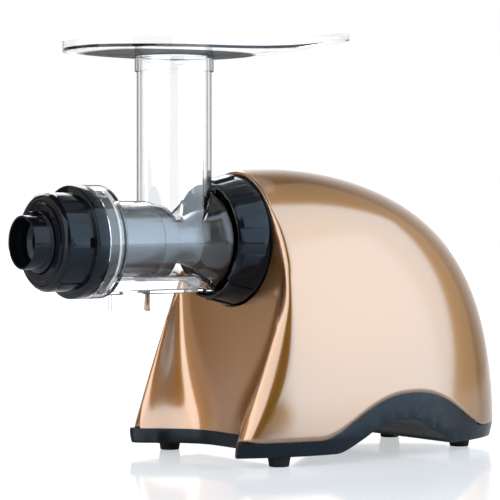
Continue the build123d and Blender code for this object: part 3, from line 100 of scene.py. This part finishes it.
# ---- how finely the housing is drawn -------------------------------------------------------------
ROWS = 161                    # from one seam over the top to the other
FRONT_COLUMNS = 22            # from the ridge back to the crest
REAR_COLUMNS = 90             # from the crest to the rear face
ARC_COLUMNS = 7               # round the ridge
FACE_COLUMNS = 60             # from the ridge in to the opening
FACE_CROWDING = 1.5           # above 1, the columns stand closer near the ridge
LOW_ROWS = 90                 # across the front face between the two toes


def half_width_at(s):
    if s < CREST:
        return HALF_WIDTH - TOE_TAPER * ((CREST - s) / CREST) ** TOE_POWER
    return HALF_WIDTH * (1 - ((s - CREST) / END_LENGTH) ** PLAN_POWER) ** (1 / PLAN_ROOT)


def top_z_at(s):
    full = TOP_Z - WIDEST_Z
    if s < CREST:
        return WIDEST_Z + full - HOOD_DROOP * ((CREST - s) / CREST) ** 2
    return WIDEST_Z + full * (1 - ((s - CREST) / END_LENGTH) ** SIDE_POWER) ** (1 / SIDE_ROOT)


def seam_z_at(s):
    share = min(abs(s - SEAM_CREST) / SEAM_HALF_SPAN, 1.0)
    return SEAM_LOW + SEAM_RISE * (1 - share ** WAVE_POWER) ** 2


RIDGE_Y = half_width_at(TOE) - RIDGE_INSET


def front_station(y, z):
    """Station of the hollow front face at a width and height."""
    if z >= AXIS_Z:
        return LIP
    rise = min(max((z - WIDEST_Z) / (AXIS_Z - WIDEST_Z), 0.0), 1.0)
    middle = LOW_MIDDLE + (LIP - LOW_MIDDLE) * rise
    hollow = (LOW_MIDDLE - TOE) * (1 - rise) ** FRONT_FADE
    across = abs(y) / RIDGE_Y
    if across >= 1:
        return min(middle - hollow + (abs(y) - RIDGE_Y) ** 2 / (2 * RIDGE_ROUND_R), middle)
    bend = HOLLOW_BEND + HOLLOW_BEND_GROWTH * rise * rise
    return middle - hollow * math.sin(math.pi / 2 * across ** bend) ** 2


def side_point(s, share):
    """Point of the sides and top at a station; share is 0 at the -Y seam, 1 on top, 2 at +Y."""
    way = -1 if share <= 1 else 1
    part = share if share <= 1 else 2 - share
    height = top_z_at(s) - WIDEST_Z
    low = math.asin(max(min((seam_z_at(s) - WIDEST_Z) / height, 1.0), -1.0))
    turn = low + (math.pi / 2 - low) * part
    z = WIDEST_Z + height * math.sin(turn)
    inset = SKIRT_INSET * max(WIDEST_Z - z, 0.0) / (WIDEST_Z - FOOT_Z)
    return Vector((s, way * (half_width_at(s) * math.cos(turn) - inset), z))


def ridge_station(share):
    """Station at which the side meets the front face, found by halving."""
    low, high = -20.0, 80.0
    for _ in range(40):
        s = (low + high) / 2
        p = side_point(s, share)
        if s > front_station(p.y, p.z):
            high = s
        else:
            low = s
    return (low + high) / 2


def place(p):
    """Station, width and height in millimetres to metres in the frame."""
    return Vector(((p[0] + FEED_X) * MM, p[1] * MM, p[2] * MM))


# ---- mesh helpers --------------------------------------------------------------------------------
def new_object(name, bm):
    mesh = bpy.data.meshes.new(name)
    bmesh.ops.recalc_face_normals(bm, faces=bm.faces)
    bm.to_mesh(mesh)
    bm.free()
    obj = bpy.data.objects.new(name, mesh)
    bpy.context.scene.collection.objects.link(obj)
    mesh.polygons.foreach_set("use_smooth", [True] * len(mesh.polygons))
    return obj


def grid_faces(bm, rows):
    for a, b in zip(rows, rows[1:]):
        for k in range(len(a) - 1):
            bm.faces.new((a[k], a[k + 1], b[k + 1], b[k]))


# ---- the copper housing --------------------------------------------------------------------------
def eased(value, start, end):
    share = min(max((value - start) / (end - start), 0.0), 1.0)
    return share * share * (3 - 2 * share)


def rounding_at(z, room):
    """Size of the rounding along the front ridges; room is what lies outside the opening."""
    size = ROUNDING_FOOT - ROUNDING_FALL * eased(z, *LEG_HEIGHTS)
    size = size + (ROUNDING_HOOD - size) * eased(z, *HOOD_HEIGHTS)
    return min(size, ROUNDING_SHARE * room)


def rear_stations():
    """Stations behind the crest, evenly spaced along the curve of the side and top."""
    steps = 4000
    fine = [CREST + (REAR - CREST) * k / steps for k in range(steps + 1)]
    run = [0.0]
    for a, b in zip(fine, fine[1:]):
        wide = half_width_at(b) - half_width_at(a)
        high = top_z_at(b) - top_z_at(a)
        run.append(run[-1] + math.sqrt((b - a) ** 2 + wide ** 2 + high ** 2))
    stations = []
    at = 0
    for k in range(1, REAR_COLUMNS + 1):
        goal = run[-1] * k / REAR_COLUMNS
        while run[at] < goal - 1e-9:
            at += 1
        stations.append(fine[at])
    stations[-1] = REAR
    return stations


def face_column(bm, edge):
    """Points of the front face from an outer point, measured from the axis, in to the opening."""
    reach = edge.length
    inner = edge / reach
    column = []
    for k in range(FACE_COLUMNS + 1):
        radius = reach + (OPENING_R - reach) * (k / FACE_COLUMNS) ** FACE_CROWDING
        y = inner.x * radius
        z = AXIS_Z + inner.y * radius
        column.append(bm.verts.new(place((front_station(y, z), y, z))))
    y = inner.x * OPENING_R
    z = AXIS_Z + inner.y * OPENING_R
    for depth in OPENING_DEPTHS:
        column.append(bm.verts.new(place((front_station(y, z) + depth, y, z))))
    return column


def make_housing():
    """The skin over sides, top and front face, and its points along the rear edge."""
    bm = bmesh.new()
    rear_part = [CREST] + rear_stations()
    rows = []
    for k in range(ROWS):
        share = 2 * k / (ROWS - 1)
        ridge = ridge_station(share)
        corner = side_point(ridge, share)
        middle = Vector((corner.y, corner.z - AXIS_Z))
        size = rounding_at(corner.z, middle.length - OPENING_R)
        start = ridge + size
        stations = [start + (CREST - start) * j / FRONT_COLUMNS for j in range(FRONT_COLUMNS)]
        side = [bm.verts.new(place(side_point(s, share))) for s in stations + rear_part]

        over_hood = eased(corner.z, *TURN_HEIGHTS)
        level = Vector((math.copysign(1.0, corner.y), 0.0))
        away = (middle.normalized() * over_hood + level * (1 - over_hood)).normalized()
        edge = middle - away * size
        first = side_point(start, share)
        last = Vector((front_station(edge.x, edge.y + AXIS_Z), edge.x, edge.y + AXIS_Z))
        arc = []
        for j in range(1, ARC_COLUMNS):
            t = j / ARC_COLUMNS
            point = first * (1 - t) ** 2 + corner * (2 * t * (1 - t)) + last * t * t
            arc.append(bm.verts.new(place(point)))
        rows.append((side, arc, face_column(bm, edge)))
    grid_faces(bm, [side[::-1] + arc + face for side, arc, face in rows])

    # the front face below the opening, from one toe to the other
    first = rows[0][2]
    last = rows[-1][2]
    a = first[0].co
    b = last[0].co
    below = [first]
    for k in range(1, LOW_ROWS):
        y = (a.y + (b.y - a.y) * (k / LOW_ROWS)) / MM
        below.append(face_column(bm, Vector((y, a.z / MM - AXIS_Z))))
    below.append(last)
    grid_faces(bm, below)
    return bm, [side[-1] for side, _, _ in rows]


def make_rear_panel(bm, rear_edge):
    """The flat rear face, with its two cut-outs."""
    edges = []
    for a, b in zip(rear_edge, rear_edge[1:] + rear_edge[:1]):
        edges.append(bm.edges.get((a, b)) or bm.edges.new((a, b)))
    for middle, half_width, half_height in (INLET_CUTOUT, ROCKER_CUTOUT):
        corners = [bm.verts.new(place((REAR, i * half_width, middle + j * half_height)))
                   for i, j in ((-1, -1), (1, -1), (1, 1), (-1, 1))]
        for a, b in zip(corners, corners[1:] + corners[:1]):
            edges.append(bm.edges.new((a, b)))
    bmesh.ops.triangle_fill(bm, edges=edges, use_beauty=True)


bm, rear_edge = make_housing()
make_rear_panel(bm, rear_edge)
bmesh.ops.remove_doubles(bm, verts=bm.verts, dist=1e-6)
housing = new_object("housing_skin", bm)
housing.data.set_sharp_from_angle(angle=math.radians(50))
skin = housing.modifiers.new("thickness", "SOLIDIFY")
skin.thickness = SKIN_THICKNESS * MM
skin.offset = -1.0
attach(housing, "body")
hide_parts("body_shell")


# ---- node helpers --------------------------------------------------------------------------------
class Graph:
    """A node tree, with the kinds of node that the looks are made of."""

    def __init__(self, tree):
        self.nodes = tree.nodes
        self.links = tree.links

    def link(self, source, target):
        self.links.new(source, target)

    def position(self, kind="Object"):
        return self.nodes.new("ShaderNodeTexCoord").outputs[kind]

    def split(self, vector):
        node = self.nodes.new("ShaderNodeSeparateXYZ")
        self.link(vector, node.inputs[0])
        return node.outputs

    def noise(self, scale, detail=2.0, vector=None):
        node = self.nodes.new("ShaderNodeTexNoise")
        set_inputs(node, {"Scale": scale, "Detail": detail})
        self.link(vector or self.position(), node.inputs["Vector"])
        return node.outputs["Fac"]

    def ramp(self, source, low, high, start=0.35, end=0.65):
        """Value that runs from low to high while the source runs from start to end."""
        node = self.nodes.new("ShaderNodeMapRange")
        set_inputs(node, {"From Min": start, "From Max": end, "To Min": low, "To Max": high})
        self.link(source, node.inputs["Value"])
        return node.outputs["Result"]

    def colours(self, source, one, two):
        """Colour that runs from one to the other over the middle part of a noise."""
        node = self.nodes.new("ShaderNodeValToRGB")
        for stop, at, colour in zip(node.color_ramp.elements, (0.3, 0.7), (one, two)):
            stop.position = at
            stop.color = (*colour, 1)
        self.link(source, node.inputs["Fac"])
        return node.outputs["Color"]

    def bump(self, source, strength, distance):
        node = self.nodes.new("ShaderNodeBump")
        set_inputs(node, {"Strength": strength, "Distance": distance})
        self.link(source, node.inputs["Height"])
        return node.outputs["Normal"]

    def maths(self, operation, one, two):
        """Two values joined by one operation; the second may be a plain number."""
        node = self.nodes.new("ShaderNodeMath")
        node.operation = operation
        self.link(one, node.inputs[0])
        if isinstance(two, float):
            node.inputs[1].default_value = two
        else:
            self.link(two, node.inputs[1])
        return node.outputs[0]

    def combined(self, kind, one, two):
        """Node of a kind that adds or mixes two shaders."""
        node = self.nodes.new(kind)
        self.link(one, node.inputs[-2])
        self.link(two, node.inputs[-1])
        return node

    def surface(self, shader_output):
        self.link(shader_output, self.nodes["Material Output"].inputs["Surface"])


def set_inputs(node, values):
    for name, value in values.items():
        node.inputs[name].default_value = value


def material(name):
    mat = bpy.data.materials.new(name)
    mat.use_nodes = True
    graph = Graph(mat.node_tree)
    return mat, graph, graph.nodes["Principled BSDF"]


# ---- materials -----------------------------------------------------------------------------------
COOL_SHEEN = (0.74, 0.87, 1.0, 1)     # tint of the reflections on the dark mouldings
PAINTED_SHADE = (0.006, 0.007, 0.009, 1)  # painted shade: near black on the auger's rear end, toward the housing
CLEAR_EDGE = (0.025, 0.030, 0.036, 1)
CLEAR_IOR = 1.45
DRIFT = 60.0                          # noise scales: slow drift of the colour,
GLOSS = 140.0                         # patches of the gloss,
FLAKES = 5200.0                       # and grain of the metallic paint


def metallic_paint():
    """Metallic base with fine flakes, under a slightly uneven clear coat."""
    mat, graph, shader = material("copper_paint")
    flakes = graph.noise(FLAKES, 1.0)
    flake_bump = graph.bump(graph.noise(FLAKES, 1.0), 0.08, 0.0001)
    coat_bump = graph.bump(graph.noise(260.0), 0.03, 0.0003)
    colour = graph.colours(flakes, (0.30, 0.123, 0.012), (0.37, 0.153, 0.019))
    graph.link(colour, shader.inputs["Base Color"])
    graph.link(graph.ramp(flakes, 0.42, 0.48), shader.inputs["Roughness"])
    graph.link(flake_bump, shader.inputs["Normal"])
    graph.link(coat_bump, shader.inputs["Coat Normal"])
    set_inputs(shader, {"Metallic": 1.0, "Coat Weight": 1.0, "Coat Roughness": 0.14,
                        "Coat IOR": 2.5})
    return mat


def moulded(name, dark, light, rough, grain=900.0, relief=0.06, level=0.5, spread=0.05,
            sheen=None):
    """Moulded plastic: slight colour drift, fine surface texture, uneven gloss."""
    mat, graph, shader = material(name)
    gloss = graph.ramp(graph.noise(GLOSS, 4.0), rough - spread, rough + spread)
    graph.link(graph.colours(graph.noise(DRIFT, 3.0), dark, light), shader.inputs["Base Color"])
    graph.link(gloss, shader.inputs["Roughness"])
    graph.link(graph.bump(graph.noise(grain), relief, 0.0002), shader.inputs["Normal"])
    shader.inputs["Specular IOR Level"].default_value = level
    if sheen:
        shader.inputs["Specular Tint"].default_value = sheen
    return mat


def grey_plastic():
    """Smooth grey of auger and screen, with painted shade: near black behind the last flight,
    toward the housing.
    """
    mat, graph, shader = material("auger_plastic")
    grey = graph.colours(graph.noise(DRIFT, 3.0), (0.095, 0.112, 0.130), (0.120, 0.140, 0.160))
    x = graph.split(graph.position())["X"]
    # painted shade: 0 in front of the plane and 1 behind it, where the auger is painted near black
    painted_shade_mask = graph.ramp(x, 0.0, 1.0, (PAINTED_SHADE_X - PAINTED_SHADE_BLEND) * MM,
                        (PAINTED_SHADE_X + PAINTED_SHADE_BLEND) * MM)
    mix = graph.nodes.new("ShaderNodeMix")
    mix.data_type = "RGBA"
    graph.link(painted_shade_mask, mix.inputs["Factor"])
    graph.link(grey, mix.inputs["A"])
    mix.inputs["B"].default_value = PAINTED_SHADE
    graph.link(mix.outputs["Result"], shader.inputs["Base Color"])
    graph.link(graph.ramp(graph.noise(GLOSS, 4.0), 0.13, 0.20), shader.inputs["Roughness"])
    graph.link(graph.bump(graph.noise(1100.0), 0.03, 0.0002), shader.inputs["Normal"])
    shader.inputs["Metallic"].default_value = 0.6
    return mat


def clear(name, tint, dark_below=None):
    """Clear moulding, dark where its surface is seen nearly edge on.

    dark_below limits the darkening to what lies under that height, in millimetres.
    """
    mat, graph, shader = material(name)
    colour = graph.colours(graph.noise(40.0), tint, (0.985, 0.99, 0.995))
    graph.link(colour, shader.inputs["Base Color"])
    graph.link(graph.ramp(graph.noise(90.0), 0.008, 0.024), shader.inputs["Roughness"])
    graph.link(graph.bump(graph.noise(120.0), 0.004, 0.0001), shader.inputs["Normal"])
    set_inputs(shader, {"Transmission Weight": 1.0, "IOR": CLEAR_IOR})
    facing = graph.nodes.new("ShaderNodeLayerWeight")
    facing.inputs["Blend"].default_value = 0.5
    share = graph.ramp(facing.outputs["Facing"], 0.0, 0.88, 0.60, 0.86)
    if dark_below is not None:
        z = graph.split(graph.position())["Z"]
        low = graph.ramp(z, 1.0, 0.0, dark_below * MM, (dark_below + TRAY_EDGE_BLEND) * MM)
        share = graph.maths("MULTIPLY", share, low)
    edge = graph.nodes.new("ShaderNodeBsdfDiffuse")
    edge.inputs["Color"].default_value = CLEAR_EDGE
    mix = graph.combined("ShaderNodeMixShader", shader.outputs[0], edge.outputs[0])
    graph.link(share, mix.inputs["Fac"])
    graph.surface(mix.outputs[0])
    return mat


def metal(name, dark, light, rough, stretch=(1.0, 1.0, 1.0)):
    """Bare metal with fine streaks, which stretch draws out along the axis with the least scale."""
    mat, graph, shader = material(name)
    squeeze = graph.nodes.new("ShaderNodeMapping")
    squeeze.inputs["Scale"].default_value = stretch
    graph.link(graph.position(), squeeze.inputs["Vector"])
    streaks = graph.noise(700.0, 3.0, squeeze.outputs["Vector"])
    graph.link(graph.colours(streaks, dark, light), shader.inputs["Base Color"])
    graph.link(graph.ramp(streaks, rough - 0.06, rough + 0.08), shader.inputs["Roughness"])
    graph.link(graph.bump(streaks, 0.05, 0.0001), shader.inputs["Normal"])
    shader.inputs["Metallic"].default_value = 1.0
    return mat


MATERIALS = {
    "copper_paint": metallic_paint(),
    "base_plastic": moulded("base_plastic", (0.0045, 0.007, 0.011), (0.006, 0.009, 0.013), 0.28,
                            grain=2600.0, relief=0.03, level=0.26, sheen=COOL_SHEEN),
    "gloss_black": moulded("gloss_black", (0.003, 0.004, 0.006), (0.005, 0.006, 0.009), 0.09,
                           grain=500.0, relief=0.01, level=0.3, spread=0.02, sheen=COOL_SHEEN),
    "clear_plastic": clear("clear_plastic", (0.955, 0.965, 0.975)),
    "auger_plastic": grey_plastic(),
    "rubber_foot": moulded("rubber_foot", (0.006, 0.006, 0.007), (0.010, 0.010, 0.011), 0.62,
                           grain=1800.0, relief=0.2, level=0.3),
    "silicone": moulded("silicone", (0.62, 0.63, 0.63), (0.70, 0.71, 0.71), 0.42, relief=0.05),
    "steel": metal("steel", (0.50, 0.50, 0.50), (0.66, 0.66, 0.65), 0.24, (1, 6, 6)),
    "mesh_steel": metal("mesh_steel", (0.46, 0.47, 0.48), (0.60, 0.61, 0.62), 0.3, (6, 1, 1)),
    "gear_nylon": moulded("gear_nylon", (0.74, 0.71, 0.62), (0.82, 0.79, 0.71), 0.45,
                          grain=1000.0, relief=0.05),
    "gearbox_plastic": moulded("gearbox_plastic", (0.012, 0.012, 0.013), (0.02, 0.02, 0.021), 0.45,
                               grain=1300.0, relief=0.15),
    "motor_alloy": metal("motor_alloy", (0.42, 0.43, 0.44), (0.56, 0.57, 0.58), 0.42),
    "core_steel": metal("core_steel", (0.10, 0.10, 0.105), (0.18, 0.18, 0.19), 0.5, (14, 1, 1)),
    "winding_copper": metal("winding_copper", (0.42, 0.16, 0.06), (0.62, 0.27, 0.11), 0.3,
                            (1, 9, 9)),
    "bronze": metal("bronze", (0.36, 0.24, 0.10), (0.50, 0.35, 0.16), 0.45),
    "zinc_plate": metal("zinc_plate", (0.48, 0.49, 0.50), (0.62, 0.63, 0.63), 0.3, (1, 1, 5)),
    "board": moulded("board", (0.01, 0.09, 0.03), (0.015, 0.12, 0.045), 0.35, relief=0.05),
    "terminal_green": moulded("terminal_green", (0.02, 0.16, 0.05), (0.03, 0.20, 0.07), 0.35),
    "capacitor_case": moulded("capacitor_case", (0.58, 0.58, 0.54), (0.66, 0.66, 0.62), 0.4),
}
CLEAR_TRAY = clear("clear_tray", (0.975, 0.985, 0.99), TRAY_EDGE_Z)


# ---- the CAD's pieces ----------------------------------------------------------------------------
BEVELS = {"base": 1.8, "locking_ring": 0.35, "end_cap": 0.35, "adjusting_nozzle": 0.3,
          "drum_socket": 0.3, "juicing_screen": 0.3, "rocker_frame": 0.4, "power_rocker": 0.4,
          "power_inlet": 0.4, "foot_front_right": 0.5, "foot_front_left": 0.5,
          "foot_rear_right": 0.5, "foot_rear_left": 0.5}
EDGE_ANGLE = math.radians(35)


def dress(obj, look):
    obj.data.materials.clear()
    obj.data.materials.append(look)


def lengthen_spout(drum):
    """Lower the bottom edge of the spout, with every other point of the drum left where it is."""
    tree = bpy.data.node_groups.new("lengthen_spout", "GeometryNodeTree")
    for way in ("INPUT", "OUTPUT"):
        tree.interface.new_socket("Geometry", in_out=way, socket_type="NodeSocketGeometry")
    graph = Graph(tree)
    move = graph.nodes.new("GeometryNodeSetPosition")
    move.inputs["Offset"].default_value = (0.0, 0.0, -SPOUT_DROP * MM)
    point = graph.nodes.new("GeometryNodeInputPosition")
    low = graph.nodes.new("FunctionNodeCompare")
    low.data_type = "FLOAT"
    low.operation = "LESS_THAN"
    low.inputs["B"].default_value = SPOUT_EDGE_Z * MM
    graph.link(graph.split(point.outputs["Position"])["Z"], low.inputs["A"])
    graph.link(graph.nodes.new("NodeGroupInput").outputs[0], move.inputs["Geometry"])
    graph.link(low.outputs[0], move.inputs["Selection"])
    graph.link(move.outputs[0], graph.nodes.new("NodeGroupOutput").inputs[0])
    drum.modifiers.new("spout", "NODES").node_group = tree


slot_of = {row["node"]: row["material_slot"] for row in frame["record"]["subparts"]}
dress(housing, MATERIALS["copper_paint"])
lengthen_spout(frame["nodes"]["drum"])
for name, obj in frame["nodes"].items():
    if name == "body_shell":
        continue
    dress(obj, CLEAR_TRAY if name == "feed_tray" else MATERIALS[slot_of[name]])
    obj.modifiers.new("weld", "WELD").merge_threshold = 1e-5
    if name in BEVELS:
        edge = obj.modifiers.new("edge", "BEVEL")
        edge.width = BEVELS[name] * MM
        edge.segments = 2
        edge.limit_method = "ANGLE"
        edge.angle_limit = EDGE_ANGLE
    obj.modifiers.new("flat", "EDGE_SPLIT").split_angle = EDGE_ANGLE


# ---- floor ---------------------------------------------------------------------------------------
FLOOR_R = 9.0                         # metres
MIRRORED_GLOW = 0.35                  # share of the floor's glow that reflections show


def rays_to_the_eye(graph):
    """The kinds of ray, and a value that is 1 for what is seen directly or through clear parts."""
    kinds = graph.nodes.new("ShaderNodeLightPath").outputs
    return kinds, graph.maths("MAXIMUM", kinds["Is Camera Ray"], kinds["Is Transmission Ray"])


def floor_material():
    """Pale gloss floor that glows to white away from the juicer, and less in reflections."""
    mat, graph, shader = material("studio_floor")
    set_inputs(shader, {"Base Color": (0.52, 0.54, 0.57, 1), "Roughness": 0.07,
                        "Specular IOR Level": 0.5})
    kinds, direct = rays_to_the_eye(graph)
    mirrored = graph.maths("MULTIPLY", kinds["Is Glossy Ray"], MIRRORED_GLOW)
    seen = graph.maths("MAXIMUM", direct, mirrored)
    span = graph.nodes.new("ShaderNodeVectorMath")
    span.operation = "LENGTH"
    graph.link(graph.position(), span.inputs[0])
    whiter = graph.ramp(span.outputs["Value"], 0.52, 1.0, 0.22, 2.20)
    glow = graph.nodes.new("ShaderNodeEmission")
    glow.inputs["Color"].default_value = (0.96, 0.98, 1.0, 1)
    graph.link(graph.maths("MULTIPLY", seen, whiter), glow.inputs["Strength"])
    both = graph.combined("ShaderNodeAddShader", shader.outputs[0], glow.outputs[0])
    graph.surface(both.outputs[0])
    return mat


bm = bmesh.new()
bmesh.ops.create_circle(bm, cap_ends=True, segments=96, radius=FLOOR_R)
floor = new_object("studio_floor", bm)
floor.data.materials.append(floor_material())

# ---- lamps ---------------------------------------------------------------------------------------
LAMP_TARGET = (0.05, 0.0, 0.12)
# name: direction from the target, distance, width, height, watts, tint, lean in degrees
LAMPS = {
    "softbox_right": ((0.574, -0.819, 0.51), 1.7, 2.7, 2.45, 34.0, (0.87, 1.09, 1.30), -18.0),
    "softbox_core": ((0.56, -0.84, 0.36), 1.65, 1.7, 1.3, 2.6, (0.72, 1.0, 1.45), 0.0),
    "softbox_right_wide": ((0.707, -0.707, 0.625), 1.9, 3.84, 3.2, 19.0, (1.0, 0.87, 0.68), 0.0),
    "softbox_left": ((-0.930, -0.200, 0.31), 1.8, 1.95, 1.9, 27.0, (0.98, 0.99, 1.0), 0.0),
    "softbox_warm": ((-0.86, 0.40, 0.309), 2.0, 2.3, 1.9, 9.0, (1.0, 0.76, 0.54), 0.0),
    "softbox_fill": ((0.10, 0.85, 0.62), 1.9, 1.6, 1.0, 18.0, (0.97, 0.98, 1.0), 0.0),
}


def softbox(name, direction, distance, wide, high, power, tint, lean):
    """Rectangular lamp that faces the target; lean turns it in its own plane."""
    lamp = bpy.data.lights.new(name, "AREA")
    lamp.shape = "RECTANGLE"
    lamp.size = wide
    lamp.size_y = high
    lamp.energy = power
    lamp.color = tint
    obj = bpy.data.objects.new(name, lamp)
    away = Vector(direction).normalized()
    turned = Quaternion((0, 0, 1), math.radians(lean))
    obj.location = Vector(LAMP_TARGET) + away * distance
    obj.rotation_mode = "QUATERNION"
    obj.rotation_quaternion = away.to_track_quat("Z", "Y") @ turned
    obj.visible_camera = False
    bpy.context.scene.collection.objects.link(obj)


for name, row in LAMPS.items():
    softbox(name, *row)


# ---- surroundings --------------------------------------------------------------------------------
FAR_SIDE = (0.588, 0.809, 0.0)        # away from the side that the photo shows


def light_the_world(world):
    """White behind the juicer; in reflections, white only low down and on the far side."""
    world.use_nodes = True
    graph = Graph(world.node_tree)
    way = graph.position("Generated")
    z = graph.split(way)["Z"]
    far = graph.nodes.new("ShaderNodeVectorMath")
    far.operation = "DOT_PRODUCT"
    far.inputs[1].default_value = FAR_SIDE
    graph.link(way, far.inputs[0])
    on_far_side = graph.ramp(far.outputs["Value"], 0.0, 1.0, 0.54, 0.92)
    low_down = graph.ramp(z, 1.0, 0.0, 0.55, 0.95)
    reflected = graph.ramp(graph.maths("MULTIPLY", on_far_side, low_down), 0.03, 1.0, 0.0, 1.0)
    kinds, seen = rays_to_the_eye(graph)
    through_clear = graph.ramp(z, 1.0, 0.45, 0.30, 0.80)
    mix = graph.nodes.new("ShaderNodeMix")
    mix.data_type = "FLOAT"
    graph.link(seen, mix.inputs["Factor"])
    graph.link(reflected, mix.inputs["A"])
    graph.link(graph.maths("MAXIMUM", kinds["Is Camera Ray"], through_clear), mix.inputs["B"])
    background = graph.nodes["Background"]
    background.inputs["Color"].default_value = (1, 1, 1, 1)
    graph.link(mix.outputs["Result"], background.inputs["Strength"])


scene = bpy.context.scene
scene.world = bpy.data.worlds.new("studio")
light_the_world(scene.world)

# ---- camera --------------------------------------------------------------------------------------
camera_data = bpy.data.cameras.new("camera")
camera = bpy.data.objects.new("camera", camera_data)
scene.collection.objects.link(camera)
camera.location = (-1.0379, -1.4163, 0.1959)
camera.rotation_mode = "QUATERNION"
camera.rotation_quaternion = Vector((-0.588, -0.809, 0.0)).to_track_quat("Z", "Y")
camera_data.lens = 158.4
camera_data.sensor_width = 36.0
camera_data.shift_y = -0.082
camera_data.clip_start = 0.05
camera_data.clip_end = 50.0
scene.camera = camera
scene.view_settings.view_transform = "Standard"
